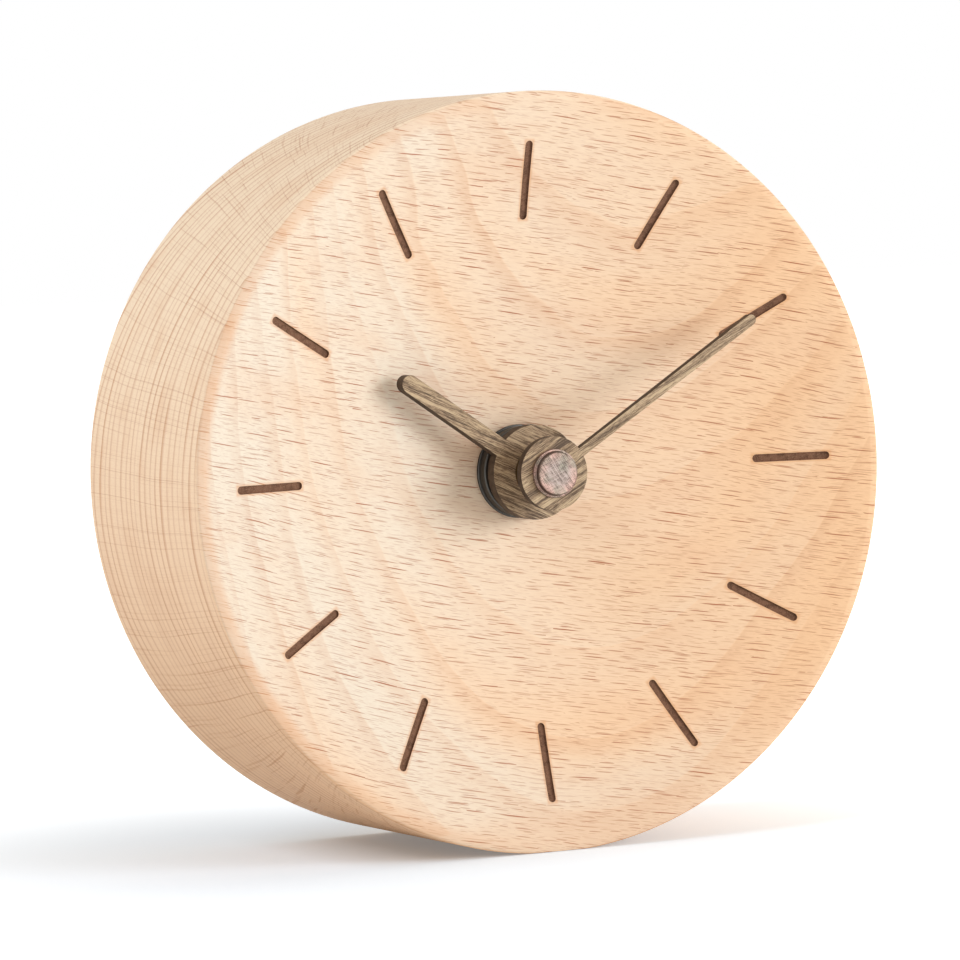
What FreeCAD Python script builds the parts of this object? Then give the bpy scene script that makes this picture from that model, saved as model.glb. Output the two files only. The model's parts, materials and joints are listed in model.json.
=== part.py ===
# Desk clock: a turned beech drum with a dished dial, two wooden hands and a
# battery movement that sits in a round pocket at the back.
# Units are millimetres. +Z is up, the dial looks along -Y, and the origin is
# under the middle of the clock, on the surface that it stands on.
# Depths are measured from the plane of the front rim, positive to the back.
import FreeCAD, Part
import math
import os

Vector = FreeCAD.Vector

# Wooden drum
body_diameter = 100.0
body_depth = 36.5
foot_flat_width = 9.0
rim_band = 1.1
rim_round = 0.4
back_round = 1.2
rim_flats = 1
back_flats = 2
dish_depth = 8.4
web_thickness = 5.5
pocket_room = 1.65

# Burnt hour marks
mark_count = 12
mark_inner_radius = 33.2
mark_outer_radius = 43.5
mark_width = 1.05
mark_depth = 0.3
mark_end_flats = 2

# Nut, washers and threaded bushing
bushing_diameter = 8.0
bushing_proud = 0.3
nut_diameter = 12.0
nut_height = 1.5
nut_chamfer = 0.3
nut_slot_width = 1.0
nut_slot_depth = 0.5
nut_angle = 45.0
washer_diameter = 12.4
washer_thickness = 0.4
seat_margin = 0.3
gasket_diameter = 20.0
gasket_thickness = 1.0

# Hands
time_hour = 10
time_minute = 9.67
hour_face_depth = 3.2
hour_thickness = 1.8
hour_disc_radius = 6.25
hour_reach = 22.9
hour_width = 2.4
minute_face_depth = -2.0
minute_thickness = 1.2
minute_disc_radius = 4.85
minute_reach = 36.2
minute_root_width = 1.15
minute_tip_width = 1.4
hour_collar_radius = 3.1
hour_flange_radius = 4.5
minute_collar_radius = 2.1
minute_flange_radius = 3.2
flange_thickness = 0.5
tube_setback = 0.2

# Centre cap
cap_lip_radius = 3.2
cap_lip_height = 0.45
cap_radius = 2.85
cap_height = 0.75
cap_socket_depth = 0.6

# Movement case, as wide as the cell and its contacts need
case_height = 56.0
case_corner = 3.0
case_wall = 1.2
case_front_depth = 10.0
case_back_depth = 6.5
divider_thickness = 1.2
pivot_hole_depth = 0.7

# Battery, an AA cell
cell_diameter = 14.5
cell_length = 50.5
cell_nub_radius = 2.75
cell_nub_length = 1.2
cell_gap = 0.3
contact_thickness = 0.4
contact_width = 9.0
contact_room = 2.25
contact_wire = 0.6
contact_coils = 3
coil_base_radius = 4.0

# Shafts
minute_arbor_radius = 1.5
hour_tube_radius = 2.5
train_arbor_radius = 0.6
train_pivot_radius = 0.35
setting_shaft_radius = 0.9
running_clearance = 0.05
free_clearance = 0.3

# Threads, and small rounds that a case or a cap hides, are drawn with flats
peg_sides = 8
ring_sides = 16
thread_sides = 24

# Wheels: number of teeth
cannon_teeth = 8
minute_wheel_teeth = 24
minute_pinion_teeth = 8
hour_wheel_teeth = 32
centre_teeth = 45
third_pinion_teeth = 6
third_teeth = 48
seconds_pinion_teeth = 6
seconds_teeth = 30
intermediate_pinion_teeth = 6
intermediate_teeth = 36
rotor_teeth = 6

# Distances between shafts, which set the size of the teeth
setting_distance = 10.8
third_distance = 10.2
intermediate_distance = 9.0
rotor_distance = 8.75
setting_angle = 185.0
third_angle = 115.0
intermediate_angle = 10.0
rotor_angle = 70.0

# Layers of the movement, measured from the inside of its front plate
wheel_thickness = 0.8
pinion_overhang = 0.15
hour_wheel_place = 0.4
minute_wheel_place = 2.0
centre_wheel_place = 3.8
bridge_place = 5.1
bridge_thickness = 1.0
bridge_pivot_depth = 0.4
third_wheel_place = 6.5
seconds_wheel_place = 8.1
intermediate_wheel_place = 9.7
bridge_posts = ((13.0, -4.0), (3.6, 18.0), (-15.0, 12.0))
post_radius = 1.2
bridge_margin = 1.0

# Motor
magnet_radius = 3.0
magnet_length = 2.4
stator_gap = 0.4
stator_thickness = 1.2
stator_left = 5.8
stator_side_room = 3.3
stator_bottom = 5.2
stator_waist = 14.6
stator_top_room = 3.8
stator_arm = 2.5
stator_place = 6.4
core_height = 2.4
coil_radius = 3.6
coil_flange_radius = 4.2
coil_flange_thickness = 0.7
coil_gap = 0.6
motor_post_radius = 1.1

# Circuit board
board_side_room = 1.8
board_top_room = 0.8
board_right = -6.5
board_height = 6.4
board_thickness = 1.0
board_place = 7.0
board_screw_inset = 2.5
board_screw_drop = 1.6
chip_inset = 7.0
chip_radius = 2.2
chip_height = 0.9
crystal_inset = 9.6
crystal_radius = 1.0
crystal_length = 6.0
crystal_margin = 0.2

# Setting knob
knob_radius = 4.6
knob_height = 2.6
knob_ribs = 18
knob_rib_depth = 0.35

# Screws of the bridge and of the coil
screw_head_radius = 0.95
screw_head_height = 0.5
screw_shank_radius = 0.45
screw_length = 3.0

# Worked out from the sizes above
body_radius = body_diameter / 2
axis_height = math.sqrt(body_radius ** 2 - (foot_flat_width / 2) ** 2)
front_tip_depth = minute_face_depth - cap_lip_height - cap_height
rim_y = -(body_depth + front_tip_depth) / 2
dish_radius = body_radius - rim_band
dish_sphere = (dish_radius ** 2 + dish_depth ** 2) / (2 * dish_depth)
pocket_floor = dish_depth + web_thickness
case_front = pocket_floor + gasket_thickness
inside_front = case_front + case_wall
case_split = case_front + case_front_depth
case_rear = case_split + case_back_depth
inside_rear = case_rear - case_wall
inside_width = cell_length + contact_room + 2 * contact_thickness + running_clearance
inside_half = inside_width / 2
case_half = inside_half + case_wall
case_top = case_height / 2
inside_top = case_top - case_wall
case_corner_reach = math.hypot(case_half - case_corner, case_top - case_corner) + case_corner
pocket_radius = case_corner_reach + pocket_room
cell_radius = cell_diameter / 2
cell_height = -inside_top + cell_gap + cell_radius
cell_depth = case_rear - cell_radius - cell_gap
divider_bottom = cell_height + cell_radius + cell_gap
divider_top = divider_bottom + divider_thickness
stator_right = inside_half - stator_side_room
stator_top = inside_top - stator_top_room
board_left = -inside_half + board_side_room
board_top = inside_top - board_top_room
board_bottom = board_top - board_height
nut_front = dish_depth - washer_thickness - nut_height
bushing_front = nut_front - bushing_proud
minute_angle = time_minute * 6.0
hour_angle = time_hour * 30.0 + time_minute * 0.5


def polar(distance, degrees, start=(0.0, 0.0)):
    """Point on the plane of the dial, x to the right and z up."""
    turn = math.radians(degrees)
    return (start[0] + distance * math.cos(turn), start[1] + distance * math.sin(turn))


centre_place = (0.0, 0.0)
setting_place = polar(setting_distance, setting_angle)
third_place = polar(third_distance, third_angle)
intermediate_place = polar(intermediate_distance, intermediate_angle)
rotor_place = polar(rotor_distance, rotor_angle, intermediate_place)


def point(x, depth, z):
    """Point given from the middle of the rim's plane."""
    return Vector(x, rim_y + depth, axis_height + z)


def rod(radius, start, end, place=centre_place):
    """Round bar along the clock's depth."""
    return Part.makeCylinder(radius, end - start, point(place[0], start, place[1]), Vector(0, 1, 0))


def block(x0, x1, depth0, depth1, z0, z1):
    return Part.makeBox(x1 - x0, depth1 - depth0, z1 - z0, point(x0, depth0, z0))


def turned(outline, place=centre_place):
    """Turn a closed outline of (radius, depth) pairs about a shaft."""
    corners = [point(place[0] + radius, depth, place[1]) for radius, depth in outline]
    face = Part.Face(Part.makePolygon(corners + corners[:1]))
    return face.revolve(point(place[0], 0, place[1]), Vector(0, 1, 0), 360)


def rounded_block(half_width, half_height, corner, start, end):
    """Block about the shaft, with its four long edges rounded."""
    shape = block(-half_width, half_width, start, end, -half_height, half_height)
    long_edges = [edge for edge in shape.Edges if abs(edge.tangentAt(edge.FirstParameter).y) > 0.5]
    return shape.makeFillet(corner, long_edges)


def plate(corners, start, end):
    """Flat plate with straight sides, from (x, z) corners."""
    ring = [point(x, start, z) for x, z in corners]
    return Part.Face(Part.makePolygon(ring + ring[:1])).extrude(Vector(0, end - start, 0))


def peg(radius, start, end, place=centre_place, sides=peg_sides):
    """Small round bar or hole along the clock's depth, drawn with flats."""
    return plate([polar(radius, 360.0 / sides * side, place) for side in range(sides)], start, end)


def peg_hole(radius, start, end, place=centre_place):
    """Hole whose flats stand this far from its middle, so that a shaft can turn in it."""
    return peg(radius / math.cos(math.pi / peg_sides), start, end, place)


def quarter_round(centre, size, first_angle, flats):
    """Edge of an outline of (radius, depth) pairs, rounded by a few flats."""
    return [polar(size, first_angle + 90.0 / flats * step, centre) for step in range(flats + 1)]


def fused(first, *others):
    return first.multiFuse(list(others)).removeSplitter()


def save(name, shape):
    shape.exportStep("parts/" + name + ".step")


# Toothed wheels

addendum_share = 0.8
dedendum_share = 1.15


def pitch_radius(distance, teeth, partner):
    """Radius of a wheel whose shaft is this far from its partner's shaft."""
    return distance * teeth / (teeth + partner)


def toothed(teeth, distance, partner, start, end, place, faces):
    """Wheel with pointed teeth, one of which points at the angle named by faces."""
    radius = pitch_radius(distance, teeth, partner)
    module = 2 * radius / teeth
    step = 360.0 / teeth
    corners = []
    for number in range(teeth):
        middle = faces + number * step
        corners.append(polar(radius + addendum_share * module, middle, place))
        corners.append(polar(radius - dedendum_share * module, middle + step / 2, place))
    return plate(corners, start, end)


def wheel_pair(driver, wheel, place, other_place):
    """Tooth angles at rest: the driver's tooth stands in the middle of the wheel's gap."""
    towards = math.degrees(math.atan2(other_place[1] - place[1], other_place[0] - place[0]))
    return towards, towards + 180.0 + 180.0 / wheel


def layer(place, thickness=wheel_thickness, overhang=0.0):
    """Start and end depth of a wheel, given from the inside of the front plate."""
    start = inside_front + place
    return start - overhang, start + thickness + overhang


def wood_drum():
    """Drum with a dished dial, marks, a seat for the nut and a pocket at the back."""
    rim = quarter_round((body_radius - rim_round, rim_round), rim_round, -90.0, rim_flats)
    back = quarter_round((body_radius - back_round, body_depth - back_round), back_round, 0.0,
                         back_flats)
    drum = turned([(0, 0)] + rim + back + [(0, body_depth)])
    ball_centre = point(0, dish_depth - dish_sphere, 0)
    drum = drum.cut(Part.makeSphere(dish_sphere, ball_centre))
    drum = drum.cut(rod(washer_diameter / 2 + seat_margin, 0, dish_depth))
    drum = drum.cut(rod(bushing_diameter / 2 + running_clearance + free_clearance / 2, 0, body_depth))
    drum = drum.cut(rod(pocket_radius, pocket_floor, body_depth))
    drum = drum.cut(block(-body_radius, body_radius, 0, body_depth, -2 * body_radius, -axis_height))
    slots = [mark_slot(360.0 / mark_count * number) for number in range(mark_count)]
    return drum.cut(Part.makeCompound(slots))


def mark_slot(clock_angle):
    """Round-ended bar on a ray of the dial, tilted so that its end lies along the dish."""
    half = mark_width / 2
    outer_end = quarter_round((0, mark_outer_radius - half), half, 0.0, mark_end_flats)
    outline = outer_end + [(-x, z) for x, z in reversed(outer_end[:-1])]
    middle = (mark_inner_radius + mark_outer_radius) / 2
    outline += [(x, 2 * middle - z) for x, z in reversed(outline)]
    rise = dish_sphere - math.sqrt(dish_sphere ** 2 - middle ** 2)
    floor = dish_depth - rise + mark_depth
    slot = plate(outline, 0, floor)
    slope = math.degrees(math.asin(middle / dish_sphere))
    slot.rotate(point(0, floor, middle), Vector(1, 0, 0), slope)
    return dial_turn(slot, clock_angle)


def dial_turn(shape, clock_angle):
    """Turn a shape clockwise, as seen from the front, about the dial's axis."""
    turned_shape = shape.copy()
    turned_shape.rotate(point(0, 0, 0), Vector(0, 1, 0), clock_angle)
    return turned_shape


def hand(disc_radius, bore_radius, reach, root_width, tip_width, face_depth, thickness, clock_angle):
    """Flat hand cut from one sheet: a disc and a round-ended blade."""
    back = face_depth + thickness
    tip = tip_width / 2
    root = root_width / 2
    blade = plate([(-root, 0), (root, 0), (tip, reach - tip), (-tip, reach - tip)], face_depth, back)
    flat = fused(rod(disc_radius, face_depth, back), blade, rod(tip, face_depth, back, (0, reach - tip)))
    return dial_turn(flat, clock_angle).cut(peg(bore_radius, face_depth, back, sides=ring_sides))


def hand_bush(collar_radius, flange_radius, bore_radius, front, back):
    """Metal eyelet: a collar through the hand and a flange behind it."""
    end = back + flange_thickness
    collar = peg(collar_radius, front, back, sides=ring_sides)
    flange = peg(flange_radius, back, end, sides=ring_sides)
    return fused(collar, flange).cut(rod(bore_radius, front, end))


def centre_cap():
    face = minute_face_depth
    lip = face - cap_lip_height
    front = lip - cap_height
    return turned([(0, front), (cap_radius, front),
                   (cap_radius, lip), (cap_lip_radius, lip), (cap_lip_radius, face),
                   (minute_arbor_radius, face), (minute_arbor_radius, face - cap_socket_depth),
                   (0, face - cap_socket_depth)])


def thread(start, end):
    """Bar or hole of the bushing's thread."""
    return peg(bushing_diameter / 2, start, end, sides=thread_sides)


def nut():
    """Round nut with a bevelled front edge and two spanner slots."""
    back = nut_front + nut_height
    outer = nut_diameter / 2
    ring = turned([(0, nut_front), (outer - nut_chamfer, nut_front),
                   (outer, nut_front + nut_chamfer), (outer, back), (0, back)])
    slot = block(-outer, outer, nut_front, nut_front + nut_slot_depth,
                 -nut_slot_width / 2, nut_slot_width / 2)
    return dial_turn(ring.cut(slot), nut_angle).cut(thread(nut_front, back))


def washer():
    back = nut_front + nut_height
    return rod(washer_diameter / 2, back, dish_depth).cut(thread(back, dish_depth))


def bushing():
    bore = rod(hour_tube_radius + running_clearance, bushing_front, case_front)
    return thread(bushing_front, case_front).cut(bore)


def gasket():
    ring = peg(gasket_diameter / 2, pocket_floor, case_front, sides=thread_sides)
    return ring.cut(thread(pocket_floor, case_front))


def minute_arbor():
    """Shaft of the minute hand with its pinion, down to its pivot in the bridge."""
    tooth, gap = wheel_pair(cannon_teeth, minute_wheel_teeth, centre_place, setting_place)
    start, end = layer(minute_wheel_place, overhang=pinion_overhang)
    bridge_front = inside_front + bridge_place
    shaft = rod(minute_arbor_radius, minute_face_depth - cap_socket_depth, bridge_front - running_clearance)
    pinion = toothed(cannon_teeth, setting_distance, minute_wheel_teeth, start, end, centre_place, tooth)
    pivot = peg(train_pivot_radius, start, bridge_front + bridge_pivot_depth)
    return fused(shaft, pinion, pivot)


def setting_arbor():
    """Shaft that carries the minute wheel, its pinion and, at the back, the knob."""
    tooth, gap = wheel_pair(cannon_teeth, minute_wheel_teeth, centre_place, setting_place)
    start, end = layer(minute_wheel_place)
    wheel = toothed(minute_wheel_teeth, setting_distance, cannon_teeth, start, end, setting_place, gap)
    tooth, gap = wheel_pair(minute_pinion_teeth, hour_wheel_teeth, setting_place, centre_place)
    start, end = layer(hour_wheel_place, overhang=pinion_overhang)
    pinion = toothed(minute_pinion_teeth, setting_distance, hour_wheel_teeth, start, end,
                     setting_place, tooth)
    knob_end = case_rear + free_clearance + knob_height
    shaft = peg(setting_shaft_radius, inside_front + running_clearance, knob_end, setting_place)
    pivot = peg(train_pivot_radius, inside_front - pivot_hole_depth + running_clearance, knob_end,
                setting_place)
    return fused(shaft, wheel, pinion, pivot)


def setting_knob():
    """Ribbed knob pressed on the end of the setting shaft."""
    start = case_rear + free_clearance
    end = start + knob_height
    corners = []
    for number in range(knob_ribs * 2):
        reach = knob_radius - (number % 2) * knob_rib_depth
        corners.append(polar(reach, number * 180.0 / knob_ribs, setting_place))
    return plate(corners, start, end).cut(peg(setting_shaft_radius, start, end, setting_place))


def hour_wheel():
    """Hour wheel and the tube that carries the hour hand, in one piece."""
    tooth, gap = wheel_pair(minute_pinion_teeth, hour_wheel_teeth, setting_place, centre_place)
    start, end = layer(hour_wheel_place)
    wheel = toothed(hour_wheel_teeth, setting_distance, minute_pinion_teeth, start, end,
                    centre_place, gap)
    pipe = rod(hour_tube_radius, hour_face_depth + tube_setback, end)
    bore = rod(minute_arbor_radius + running_clearance, hour_face_depth, end)
    return fused(wheel, pipe).cut(bore)


def centre_wheel():
    """Wheel that turns the minute arbor through a friction fit."""
    tooth, gap = wheel_pair(third_pinion_teeth, centre_teeth, third_place, centre_place)
    start, end = layer(centre_wheel_place)
    wheel = toothed(centre_teeth, third_distance, third_pinion_teeth, start, end, centre_place, gap)
    return wheel.cut(rod(minute_arbor_radius + running_clearance, start, end))


def clutch_spring():
    """Domed washer on the minute arbor that presses on the centre wheel."""
    start, end = layer(centre_wheel_place)
    front = end + running_clearance
    back = inside_front + bridge_place - running_clearance
    return peg(minute_arbor_radius * 2, front, back).cut(rod(minute_arbor_radius, front, back))


def train_arbor(front, back, place, *wheels):
    """Thin shaft with a pivot at each end, joined to its wheels."""
    body_front = front + pivot_hole_depth
    body_back = back - pivot_hole_depth
    gap = running_clearance
    shaft = peg(train_arbor_radius, body_front + gap, body_back - gap, place)
    pivots = peg(train_pivot_radius, front + gap, back - gap, place)
    return fused(shaft, pivots, *wheels)


def third_wheel():
    tooth, gap = wheel_pair(third_pinion_teeth, centre_teeth, third_place, centre_place)
    start, end = layer(centre_wheel_place, overhang=pinion_overhang)
    pinion = toothed(third_pinion_teeth, third_distance, centre_teeth, start, end, third_place, tooth)
    tooth, gap = wheel_pair(seconds_pinion_teeth, third_teeth, centre_place, third_place)
    start, end = layer(third_wheel_place)
    wheel = toothed(third_teeth, third_distance, seconds_pinion_teeth, start, end, third_place, gap)
    return train_arbor(inside_front - pivot_hole_depth, inside_rear + pivot_hole_depth, third_place,
                       pinion, wheel)


def seconds_wheel():
    tooth, gap = wheel_pair(seconds_pinion_teeth, third_teeth, centre_place, third_place)
    start, end = layer(third_wheel_place, overhang=pinion_overhang)
    pinion = toothed(seconds_pinion_teeth, third_distance, third_teeth, start, end, centre_place, tooth)
    tooth, gap = wheel_pair(intermediate_pinion_teeth, seconds_teeth, intermediate_place, centre_place)
    start, end = layer(seconds_wheel_place)
    wheel = toothed(seconds_teeth, intermediate_distance, intermediate_pinion_teeth, start, end,
                    centre_place, gap)
    bridge_back = inside_front + bridge_place + bridge_thickness
    shaft = peg(train_arbor_radius, bridge_back + running_clearance, inside_rear - running_clearance)
    pivots = peg(train_pivot_radius, bridge_back - bridge_pivot_depth,
                 inside_rear + pivot_hole_depth - running_clearance)
    return fused(shaft, pivots, pinion, wheel)


def intermediate_wheel():
    place = intermediate_place
    tooth, gap = wheel_pair(intermediate_pinion_teeth, seconds_teeth, place, centre_place)
    start, end = layer(seconds_wheel_place, overhang=pinion_overhang)
    pinion = toothed(intermediate_pinion_teeth, intermediate_distance, seconds_teeth, start, end,
                     place, tooth)
    tooth, gap = wheel_pair(rotor_teeth, intermediate_teeth, rotor_place, place)
    start, end = layer(intermediate_wheel_place)
    wheel = toothed(intermediate_teeth, rotor_distance, rotor_teeth, start, end, place, gap)
    bridge_back = inside_front + bridge_place + bridge_thickness
    return train_arbor(bridge_back - pivot_hole_depth, inside_rear + pivot_hole_depth, place,
                       pinion, wheel)


def rotor_pinion():
    tooth, gap = wheel_pair(rotor_teeth, intermediate_teeth, rotor_place, intermediate_place)
    start, end = layer(intermediate_wheel_place, overhang=pinion_overhang)
    pinion = toothed(rotor_teeth, rotor_distance, intermediate_teeth, start, end, rotor_place, tooth)
    return train_arbor(inside_front - pivot_hole_depth, inside_rear + pivot_hole_depth, rotor_place,
                       pinion)


stator_front = inside_front + stator_place
stator_back = stator_front + stator_thickness
motor_middle = (stator_front + stator_back) / 2
core_bottom = stator_top - core_height - (stator_arm - core_height) / 2
core_middle = core_bottom + core_height / 2
coil_depth = stator_back + stator_thickness / 2
arm_middles = (stator_left + stator_arm / 2, stator_right - stator_arm / 2)
coil_left = stator_left + stator_arm + coil_gap
coil_right = stator_right - stator_arm - coil_gap


def rotor_magnet():
    start = motor_middle - magnet_length / 2
    end = start + magnet_length
    magnet = peg(magnet_radius, start, end, rotor_place, ring_sides)
    return magnet.cut(peg(train_arbor_radius, start, end, rotor_place))


def stator():
    """Soft iron plate with two arms, bored for the magnet."""
    left_arm = stator_left + stator_arm
    right_arm = stator_right - stator_arm
    corners = [(stator_left, stator_bottom), (stator_right, stator_bottom), (stator_right, stator_top),
               (right_arm, stator_top), (right_arm, stator_waist), (left_arm, stator_waist),
               (left_arm, stator_top), (stator_left, stator_top)]
    iron = plate(corners, stator_front, stator_back)
    iron = iron.cut(peg(magnet_radius + stator_gap, stator_front, stator_back, rotor_place, ring_sides))
    for x in arm_middles:
        iron = iron.cut(peg(screw_shank_radius, stator_front, stator_back, (x, core_middle)))
    return iron


def coil_core():
    """Iron bar through the coil, screwed across the two arms."""
    bar = block(stator_left, stator_right, stator_back, stator_back + stator_thickness,
                core_bottom, core_bottom + core_height)
    for x in arm_middles:
        bar = bar.cut(peg(screw_shank_radius, stator_back, stator_back + stator_thickness,
                          (x, core_middle)))
    return bar


def along(radius, left, right, depth, z):
    """Round bar that lies from left to right."""
    return Part.makeCylinder(radius, right - left, point(left, depth, z), Vector(1, 0, 0))


def spool(radius, left, right, depth, z):
    """Small round bar from left to right, drawn with flats."""
    ring = [polar(radius, 360.0 / ring_sides * side, (depth, z)) for side in range(ring_sides)]
    corners = [point(left, side_depth, side_z) for side_depth, side_z in ring]
    face = Part.Face(Part.makePolygon(corners + corners[:1]))
    return face.extrude(Vector(right - left, 0, 0))


bobbin_wall = 0.6


def bobbin_barrel_radius():
    return math.hypot(core_height / 2, stator_thickness / 2) + bobbin_wall


def coil_bobbin():
    """Spool with two flanges, moulded with a slot for the core."""
    flange = coil_flange_thickness
    barrel = spool(bobbin_barrel_radius(), coil_left, coil_right, coil_depth, core_middle)
    left = spool(coil_flange_radius, coil_left, coil_left + flange, coil_depth, core_middle)
    right = spool(coil_flange_radius, coil_right - flange, coil_right, coil_depth, core_middle)
    slot = block(coil_left, coil_right, stator_back, stator_back + stator_thickness,
                 core_bottom, core_bottom + core_height)
    return fused(barrel, left, right).cut(slot)


def coil_winding():
    left = coil_left + coil_flange_thickness
    right = coil_right - coil_flange_thickness
    outer = spool(coil_radius, left, right, coil_depth, core_middle)
    return outer.cut(spool(bobbin_barrel_radius(), left, right, coil_depth, core_middle))


board_front = inside_front + board_place
board_back = board_front + board_thickness
board_middle = (board_bottom + board_top) / 2
board_screw_height = board_top - board_screw_drop
board_posts = ((board_left + board_screw_inset, board_screw_height),
               (board_right - board_screw_inset, board_screw_height))


def circuit_board():
    board = block(board_left, board_right, board_front, board_back, board_bottom, board_top)
    for place in board_posts:
        board = board.cut(peg(screw_shank_radius, board_front, board_back, place))
    return board


def chip():
    """Low round cap of resin over the chip."""
    place = (board_left + chip_inset, board_middle)
    return peg(chip_radius, board_back, board_back + chip_height, place, ring_sides)


def crystal():
    """Can of the quartz crystal, lying on the board."""
    left = board_left + crystal_inset
    return spool(crystal_radius, left, left + crystal_length, board_back + crystal_radius,
                 board_bottom + crystal_margin + crystal_radius)


def bridge():
    """Plate across the middle of the train, held on three posts."""
    right, top, left = bridge_posts
    edge = post_radius + bridge_margin
    corners = [(right[0] + edge, right[1] - edge), (right[0] + edge, right[1] + 2 * edge),
               (top[0] + edge, top[1] + edge), (left[0] - edge, left[1] + edge),
               (left[0] - edge, left[1] - edge), (-edge, -2 * edge), (edge, right[1] - edge)]
    start = inside_front + bridge_place
    end = start + bridge_thickness
    sheet = plate(corners, start, end)
    pivot = train_pivot_radius + running_clearance
    sheet = sheet.cut(peg_hole(pivot, start, end))
    sheet = sheet.cut(peg_hole(pivot, start, end, intermediate_place))
    sheet = sheet.cut(peg_hole(train_arbor_radius + free_clearance, start, end, third_place))
    magnet_hole = magnet_radius + stator_gap + free_clearance
    sheet = sheet.cut(peg(magnet_hole, start, end, rotor_place, ring_sides))
    for place in bridge_posts:
        sheet = sheet.cut(peg(screw_shank_radius, start, end, place))
    return sheet


def case_front_shell():
    """Front half of the movement's case with its posts and pivot holes."""
    shell = rounded_block(case_half, case_top, case_corner, case_front, case_split)
    shell = shell.cut(block(-inside_half, inside_half, inside_front, case_split,
                            divider_top, inside_top))
    shell = shell.cut(block(-inside_half, inside_half, inside_front, case_split,
                            -inside_top, divider_bottom))
    bridge_front = inside_front + bridge_place
    posts = [peg(post_radius, inside_front, bridge_front, place) for place in bridge_posts]
    posts += [peg(motor_post_radius, inside_front, stator_front, (x, core_middle)) for x in arm_middles]
    posts += [peg(motor_post_radius, inside_front, board_front, place) for place in board_posts]
    shell = fused(shell, *posts)
    shell = shell.cut(rod(hour_tube_radius + running_clearance, case_front, inside_front))
    pivot = train_pivot_radius + running_clearance
    for place in (setting_place, third_place, rotor_place):
        shell = shell.cut(peg_hole(pivot, inside_front - pivot_hole_depth, inside_front, place))
    holes = [peg(screw_shank_radius, start_of_thread(place, depth), depth, place)
             for place, depth in screw_places()]
    return shell.cut(Part.makeCompound(holes))


def screw_places():
    """Each screw's place and the depth of the face that it is driven into."""
    bridge_screws = [(place, inside_front + bridge_place) for place in bridge_posts]
    core_screws = [((x, core_middle), stator_front) for x in arm_middles]
    board_screws = [(place, board_front) for place in board_posts]
    return bridge_screws + core_screws + board_screws


def start_of_thread(place, depth):
    return depth - screw_length + screw_head_height


def screws():
    """Small screws of the bridge, the coil and the board."""
    pieces = []
    under_heads = ([inside_front + bridge_place + bridge_thickness] * len(bridge_posts)
                   + [stator_back + stator_thickness] * len(arm_middles)
                   + [board_back] * len(board_posts))
    for (place, depth), seat in zip(screw_places(), under_heads):
        shank = peg(screw_shank_radius, start_of_thread(place, depth), seat, place)
        head = peg(screw_head_radius, seat, seat + screw_head_height, place)
        pieces.append(fused(shank, head))
    return Part.makeCompound(pieces)


def case_back_shell():
    """Rear half of the case, open over the battery."""
    shell = rounded_block(case_half, case_top, case_corner, case_split, case_rear)
    shell = shell.cut(block(-inside_half, inside_half, case_split, inside_rear,
                            divider_top, inside_top))
    shell = shell.cut(block(-inside_half, inside_half, case_split, case_rear,
                            -inside_top, divider_bottom))
    pivot = train_pivot_radius + running_clearance
    for place in (centre_place, third_place, intermediate_place, rotor_place):
        shell = shell.cut(peg_hole(pivot, inside_rear, inside_rear + pivot_hole_depth, place))
    shaft_hole = setting_shaft_radius + running_clearance
    return shell.cut(peg_hole(shaft_hole, inside_rear, case_rear, setting_place))


cell_right = inside_half - contact_thickness - running_clearance
cell_left = cell_right - cell_length


def battery():
    """AA cell on its side, plus end to the right."""
    can_right = cell_right - cell_nub_length
    can = along(cell_radius, cell_left, can_right, cell_depth, cell_height)
    return fused(can, along(cell_nub_radius, can_right, cell_right, cell_depth, cell_height))


def contact_plate(inner, outer):
    """Strip up the end of the battery bay, with a tab through the divider."""
    half = contact_width / 2
    return block(min(inner, outer), max(inner, outer), cell_depth - half, cell_depth + half,
                 cell_height - half, divider_bottom)


def plus_contact():
    return contact_plate(inside_half - contact_thickness, inside_half)


def minus_contact():
    """Strip with a small coil that presses on the cell's flat end."""
    strip_face = -inside_half + contact_thickness
    strip = contact_plate(-inside_half, strip_face)
    ring_length = (cell_left - free_clearance - strip_face) / contact_coils
    rings = []
    for number in range(contact_coils):
        start = strip_face + number * ring_length
        end = start + ring_length
        outer = coil_base_radius - number * contact_wire
        inner = outer - 2 * contact_wire
        rings.append(spool(outer, start, end, cell_depth, cell_height)
                     .cut(spool(inner, start, end, cell_depth, cell_height)))
    return fused(strip, *rings)


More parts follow.
